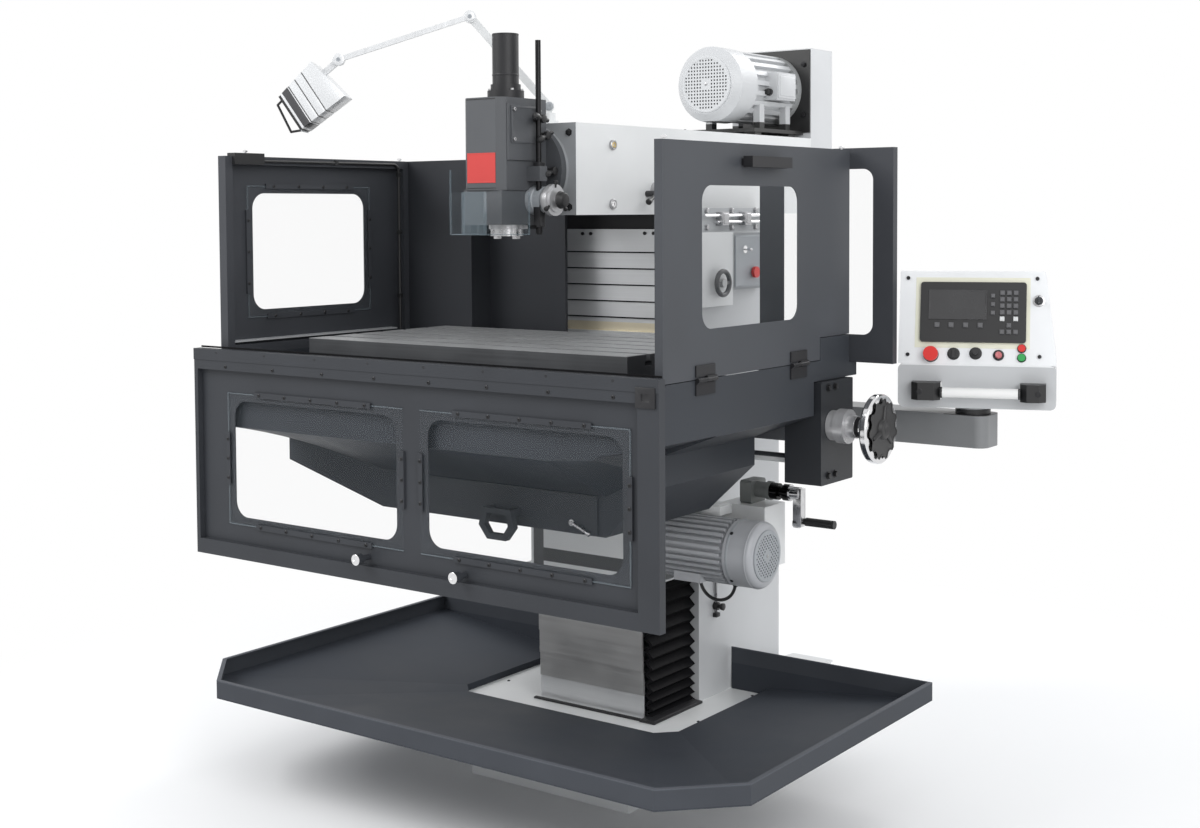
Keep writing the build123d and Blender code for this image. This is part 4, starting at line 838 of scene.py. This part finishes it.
def buildPanelParts():
    # pieces are built with x along, -y out and z up the face, then set on the leaning panel
    p = panelParts
    face = p["turn"] @ shift((0, *p["foot"])) @ spin(-p["tilt"], "X")

    def add(piece, name, material, *edge, place=face):
        done(placed(piece, place), name, material, "panel_body", *edge)

    add(dished((-0.12, -0.0122, up(1.357)), (0.038, -0.0098, up(1.438)), toFront, 0.004, 0.0012), "panelScreen",
            "screenGlass", 0.0004, 1)
    keys = {(row, column): keyCap(x, z) for row, z in enumerate(p["rows"]) for column, x in enumerate(p["columns"])
            if (row, column) not in ((2, 1), (1, 0), (1, 2))}
    dark = [key for (row, column), key in keys.items() if row != 2]
    dark += [keyCap(0.053, z, 0.0055) for z in p["sideKeys"]] + [keyCap(x, 1.342, 0.0068) for x in p["softKeys"]]
    add(dark, "panelKeys", "keyGrey")
    add([key for (row, column), key in keys.items() if row == 2], "panelPaleKeys", "keyPale")
    add(copied(screwMasters["cap"], [((x, 0, up(z)), toFront) for x, z in p["screws"]]), "panelScrews", "screwBlack")
    add([turned((x, 0, up(z)), toFront, [(0, radius), (0.0022, radius), (0.0008, radius - 0.0015),
            (0, radius - 0.004), (-0.001, radius - 0.005)], 32) for x, z, radius in p["bases"]], "controlRings",
            "blackPlastic")
    add(turned((0.07, -0.002, up(1.264)), toFront, [(0, 0.0095), (0.01, 0.009), (0.002, 0.0075), (0, 0.003),
            (-0.0005, 0.002)], 24), "feedKnob", "pinkPlastic")
    add([turned((0.131, 0, up(z)), toFront, [(0, 0.0122), (0.0026, 0.0122), (0.0008, 0.0112), (0, 0.0106),
            (-0.002, 0.0106)], 28) for z in (1.283, 1.258)], "buttonRims", "blackPlastic")
    add(turned((0.174, 0, up(1.411)), toFront, [(0, 0.0165), (0.0018, 0.0165), (0.0007, 0.015), (0, 0.0115),
            (-0.0004, 0.0112)], 28), "keyPlate", "screwSteel")
    add(dished((-0.156, -0.0012, up(1.282)), (0.152, 0.0004, up(1.473)), toFront, 0.004, -0.0003), "readoutField",
            "cream", 0.0003, 1)
    add([turned((x, -0.1188, 1.167), toFront, [(0, 0.0085), (0.0008, 0.0085), (0.0004, 0.0078), (0, 0.005),
            (-0.0008, 0.0045)], 20) for x in (-0.137, 0.176)], "handleScrewCaps", "blackPaint", place=p["turn"])
    add([turned((x, -0.101, 1.164), (way, 0, 0), [(0, 0.0152), (0.0035, 0.0152), (0.001, 0.0143)], 28)
            for x, way in ((-0.0812, 1), (0.1282, -1))], "handleCuffs", "blackPlastic", place=p["turn"])


wheelWeb = {"middle": (0.9262, -0.2, 1.088), "lobes": 11, "high": 0.081, "low": 0.86, "deep": 0.003}


def buildWheelWeb():
    # the dark inside of the rim, its outline in finger waves
    w = wheelWeb
    middle = Vector(w["middle"])
    clearSelection()
    bpy.ops.mesh.primitive_circle_add(vertices=w["lobes"] * 4, radius=w["high"], fill_type="NGON", location=middle,
            rotation=(0, math.radians(90), 0))
    web = setMesh()
    pick(web, lambda corner: corner.index % 4 in (0, 1), "vertices")
    bpy.ops.transform.resize(value=(w["low"],) * 3, center_override=middle)
    bpy.ops.mesh.select_all(action="SELECT")
    draw((0.0012, 0, 0))
    bpy.context.tool_settings.mesh_select_mode = (False, False, True)
    bpy.ops.mesh.inset(thickness=0.004, depth=0)
    draw((-w["deep"], 0, 0))
    setMode("OBJECT")
    done(web, "wheelWeb", "blackPlastic", "wheel_body", 0.0006, 1)
    spokes = [turned(middle + Vector((-0.001, 0, 0)) + way * 0.018, way,
            [(0, 0.0085), (0.002, 0.0085), (0.04, 0.006), (0.002, 0.0045)], 12) for way in map(around, (80, 200, 320))]
    done(spokes, "wheelSpokes", "blackPlastic", "wheel_body")


smallFittingsTurned = {
    "drawerLatch": ("screwSteel", "drawer_body", (0.328, -0.7675, 0.868), (0.067, 0, -0.029), 16,
            [(0, 0.003), (0.002, 0.0052), (0.052, 0.004), (0.001, 0.0062), (0.01, 0.0066), (0.002, 0.004)]),
    "drawerLatchPivot": ("turnedSteel", "drawer_body", (0.331, -0.766, 0.8665), toFront, 18,
            [(0, 0.0085), (0.003, 0.0085), (0.001, 0.007)]),
    "crankSleeve": ("crankSteel", "crank_body", (0.5885, -0.018, 0.779), toRight, 20,
            [(0, 0.0078), (0.006, 0.0078), (0.001, 0.0068)]),
}
smallFittingsPlates = {
    "crankArm": ("crankSteel", "crank_body", (0.5715, -0.0315, 0.7635), (0.588, -0.0045, 0.873), toRight, 0.005,
            0.0012, 0.004, 3),
    "controlBoxLid": ("greyPaint", "base", (0.2818, 0.112, 1.432), (0.2842, 0.288, 1.588), toRight, 0.006, 0.0006,
            0.0008),
}


def buildSmallFittings():
    turnAll(smallFittingsTurned)
    plateAll(smallFittingsPlates)
    knobs = [turned(place, toTop, [(0, 0.0035), (0.003, 0.0035), (0.0005, 0.0075), (0.004, 0.0075), (0.0015, 0.0055),
            (0.001, 0.002)], 7) for place in ((-0.722, -0.905, 1.8318), (-0.73, -0.262, 1.823), (0.75, -0.962, 1.825),
            (0.75, -0.1, 1.825))]
    done(knobs[:2], "leftWallKnobs", "chromePlate", "knee_body")
    done(knobs[2:], "flapKnobs", "chromePlate", "flap_body")


wiperShades = {"stand": 0.0002, "below": 0.0014, "above": 0.0026, "half": 0.228}


def buildWiperShades():
    # a thin black rubber edge on each sliding sheet of the covers, which is also painted shade for the step at each
    # sheet's edge
    w = wiperShades
    runs = {"fixedWiperShade": (-0.062, 1.538, "base"), "kneeWiperShade": (-0.047, 1.2945, "knee_body")}
    for k in (1, 2, 3, 4):
        low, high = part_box("upper_lath_%d" % k)
        runs["upperWiper%d" % k] = (low[1], low[2], "upper_lath_body_%d" % k)
    for name, (front, z, body) in runs.items():
        done(dished((-w["half"], front - w["stand"], z - w["below"]), (w["half"], front + 0.0024, z + w["above"]),
                toFront, 0.0008, 0.0001), name, "bellowsCloth", body, 0.0001, 1)
    for k in (1, 2, 3):
        low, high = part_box("lower_lath_%d" % k)
        done(dished((low[0], low[1] - w["stand"], high[2] - 0.003), (high[0], low[1] + 0.0024, high[2] + 0.0006),
                toFront, 0.0008, 0.0001), "lowerWiper%d" % k, "bellowsCloth", "lower_lath_body_%d" % k, 0.0001, 1)


def hangingCable(ends, sag, radius):
    # hangs in a bow between two fixed ends, each in a gland
    clearSelection()
    bpy.ops.curve.primitive_bezier_curve_add(location=(0, 0, 0))
    cable = bpy.context.object
    for point, end in zip(cable.data.splines[0].bezier_points, ends):
        point.handle_left_type = point.handle_right_type = "FREE"
        point.co = end
        point.handle_left = point.handle_right = Vector(end) - Vector((0, 0, sag))
    cable.data.bevel_depth = radius
    cable.data.bevel_resolution = 3
    cable.data.resolution_u = 24
    cable.data.use_fill_caps = True
    bpy.ops.object.convert(target="MESH")
    return [bpy.context.object] + [turned(Vector(end) - Vector((0, 0, 0.016)), toTop,
            [(0, 0.0062), (0.003, 0.0078), (0.013, 0.0078)], 12) for end in ends]


machineTurned = {
    "wheelHub": ("blackPlastic", "wheel_body", (0.9145, -0.2, 1.088), toRight, 40,
            [(0, 0.069), (0.002, 0.069), (0.001, 0.066), (-0.0015, 0.058), (0, 0.034), (0.008, 0.03), (0.01, 0.024),
            (0.001, 0.021), (0, 0.008), (-0.001, 0.006)]),
    "wheelNeck": ("blackPaint", "wheel_body", (0.853, -0.2, 1.088), toRight, 32,
            [(0, 0.0275), (0.012, 0.0278), (0.002, 0.024), (0.02, 0.024), (0.002, 0.0278), (0.01, 0.0278)]),
    "tripRod": ("turnedSteel", "base", (0.2555, 0.046, 0.45), toTop, 14, [(0, 0.0044), (0.32, 0.0044), (0.002, 0.003)],
            0.0004),
    "tripDog": ("blackPlastic", "base", (0.2505, 0.046, 0.477), toRight, 20,
            [(0, 0.012), (0.014, 0.012), (0.001, 0.006), (0.008, 0.006), (0.001, 0.01), (0.008, 0.011),
            (0.002, 0.008)]),
    "tankFiller": ("blackPlastic", "base", (0.36, 0.3, 0.2455), toTop, 28,
            [(0, 0.03), (0.008, 0.03), (0.002, 0.027), (0, 0.01), (0.006, 0.009)]),
    "boxToggle": ("chromePlate", "base", (0.2815, 0.17, 1.545), toRight, 18,
            [(0, 0.012), (0.003, 0.012), (0.001, 0.009), (0, 0.0035), (0.016, 0.003), (0.003, 0.0045),
            (0.003, 0.003)]),
    "armPivotNut": ("turnedSteel", "base", (0.3, 0.18, 1.1145), toTop, 6,
            [(0, 0.016), (0.008, 0.016), (0.001, 0.013), (0, 0.006), (-0.003, 0.005)]),
}


def buildMachineParts():
    turnAll(machineTurned)
    cable = hangingCable(((0.344, -0.18, 0.622), (0.462, -0.18, 0.622)), 0.082, 0.0048)
    done(cable, "feedMotorCable", "blackPlastic", "knee_body")
    buildWheelWeb()
    spots = [((x, y, 0.205), toTop) for x, y in ((-0.3, -0.39), (-0.1, -0.39), (0, -0.39), (0.19, -0.385),
            (0.35, -0.39), (0.35, -0.2), (0.35, 0.1), (0.27, 0.15), (-0.35, -0.2))]
    screws("button", "floorPlateScrews", spots, "screwBlack", "base")
    strips = [dished((-0.174, -0.296, 0.2052), (0.222, -0.284, 0.2105), toTop, 0.003, -0.002),
            dished((0.2135, -0.3, 0.2052), (0.266, -0.046, 0.2125), toTop, 0.004, -0.002)]
    done(strips, "bellowsFoot", "blackPaint", "base", 0.001)
    posts = [dished((0.25, 0.036, z), (0.264, 0.056, z + 0.012), toRight, 0.002, -0.001) for z in (0.444, 0.764)]
    done(posts, "tripRodBlocks", "blackPaint", "base", 0.0015)
    covers = [dished((-0.205, 0.4575, low), (0.205, 0.4615, high), toBack, 0.012, 0.0012)
            for low, high in ((0.36, 0.86), (0.9, 1.46))]
    done(covers, "columnCovers", "columnPaint", "base", 0.0015)
    vents = [dished((-0.1, 0.4605, z), (0.1, 0.4635, z + 0.0065), toBack, 0.0016, 0.002)
            for z in spread(1.3, 1.412, 8)]
    done(vents, "columnVents", "blackPlastic", "base", 0.0004, 1)
    glands = [turned((x, 0.4615, 0.31), toBack, [(0, 0.016), (0.008, 0.016), (0.001, 0.012), (0.016, 0.011),
            (0.001, 0.008), (0, 0.005), (-0.004, 0.005)], 16) for x in (-0.12, -0.06, 0)]
    done(glands, "cableGlands", "blackPlastic", "base")


buildDoorParts()
buildStripScrews()
print("door and window fittings added")
buildMotors()
print("motor parts added")
buildHeadParts()
buildRamParts()
buildLampParts()
print("head, ram and lamp parts added")
buildPanelParts()
buildMachineParts()
buildWiperShades()
buildSmallFittings()
for master in screwMasters.values():
    only(master)
    bpy.ops.object.delete()
print("panel and machine parts added")


stage = {"floorSize": 60.0, "floorColor": (0.93, 0.93, 0.93), "fadeFrom": 1.3, "fadeTo": 2.6,
         "skyColor": (0.92, 0.94, 0.97), "skyLight": 0.68}


def seenRays(tree):
    # 1 for what the camera sees, straight, in a mirror or through a clear sheet
    path = addNode(tree, "LightPath").outputs
    total = path["Is Camera Ray"]
    for label in ("Is Glossy Ray", "Is Transmission Ray"):
        total = combine(tree, "ADD", total, path[label], True)
    return total


def buildStage():
    bpy.ops.object.select_all(action="DESELECT")
    bpy.ops.mesh.primitive_plane_add(size=stage["floorSize"], location=(0, 0, -0.0005))
    floor = bpy.context.object
    floor.name = "studioFloor"
    tree, shader, position = startMaterial("floorWhite")
    shader.inputs["Base Color"].default_value = (*stage["floorColor"], 1)
    shader.inputs["Roughness"].default_value = 0.9
    shader.inputs["Specular IOR Level"].default_value = 0
    away = addNode(tree, "VectorMath", links={0: position}, operation="LENGTH").outputs["Value"]
    fade = addNode(tree, "MapRange", {"From Min": stage["fadeFrom"], "From Max": stage["fadeTo"]}, {"Value": away},
                   interpolation_type="SMOOTHSTEP").outputs["Result"]
    share = combine(tree, "MULTIPLY", fade, seenRays(tree))
    white = addNode(tree, "Emission").outputs[0]
    mix = addNode(tree, "MixShader", links={0: share, 1: shader.outputs[0], 2: white})
    tree.links.new(mix.outputs[0], tree.nodes["Material Output"].inputs["Surface"])
    setMaterial(floor, "floorWhite")
    world = bpy.data.worlds.new("studioWorld")
    bpy.context.scene.world = world
    world.use_nodes = True
    tree = world.node_tree
    background = tree.nodes["Background"]
    background.inputs["Color"].default_value = (*stage["skyColor"], 1)
    background.inputs["Strength"].default_value = stage["skyLight"]
    seen = addNode(tree, "Background", {"Color": (1, 1, 1, 1)}).outputs[0]
    mix = addNode(tree, "MixShader", links={0: seenRays(tree), 1: background.outputs[0], 2: seen})
    tree.links.new(mix.outputs[0], tree.nodes["World Output"].inputs["Surface"])


lamps = {
    "keyLight": {"place": (-3.5, -4.5, 5.0), "aim": (0, -0.3, 1.0), "size": 3.5, "power": 240},
    "fillLight": {"place": (5.0, -3.0, 3.5), "aim": (0, -0.2, 1.0), "size": 4.0, "power": 170},
    "rimLight": {"place": (1.0, 4.5, 4.5), "aim": (0, 0, 1.2), "size": 3.0, "power": 120},
}


def buildLamps():
    for name, lamp in lamps.items():
        data = bpy.data.lights.new(name, "AREA")
        data.size = lamp["size"]
        data.energy = lamp["power"]
        light = bpy.data.objects.new(name, data)
        bpy.context.scene.collection.objects.link(light)
        light.location = lamp["place"]
        light.rotation_euler = (Vector(lamp["aim"]) - Vector(lamp["place"])).to_track_quat("-Z", "Y").to_euler()


cameraView = {"place": (2.8093, -4.0253, 1.6592), "yaw": 36.2, "pitch": 2.9, "roll": -0.3, "lens": 48.408,
              "shiftY": -0.1}


def buildCamera():
    data = bpy.data.cameras.new("photoCamera")
    data.sensor_fit = "HORIZONTAL"
    data.sensor_width = 36
    data.lens = cameraView["lens"]
    data.shift_y = cameraView["shiftY"]
    data.clip_end = 200
    camera = bpy.data.objects.new("photoCamera", data)
    bpy.context.scene.collection.objects.link(camera)
    turn = spin(cameraView["yaw"], "Z") @ spin(90 - cameraView["pitch"], "X") @ spin(cameraView["roll"], "Z")
    camera.matrix_world = shift(cameraView["place"]) @ turn
    bpy.context.scene.camera = camera


buildStage()
buildLamps()
buildCamera()
bpy.context.scene.view_settings.view_transform = "Standard"
print("stage, lamps and camera ready")
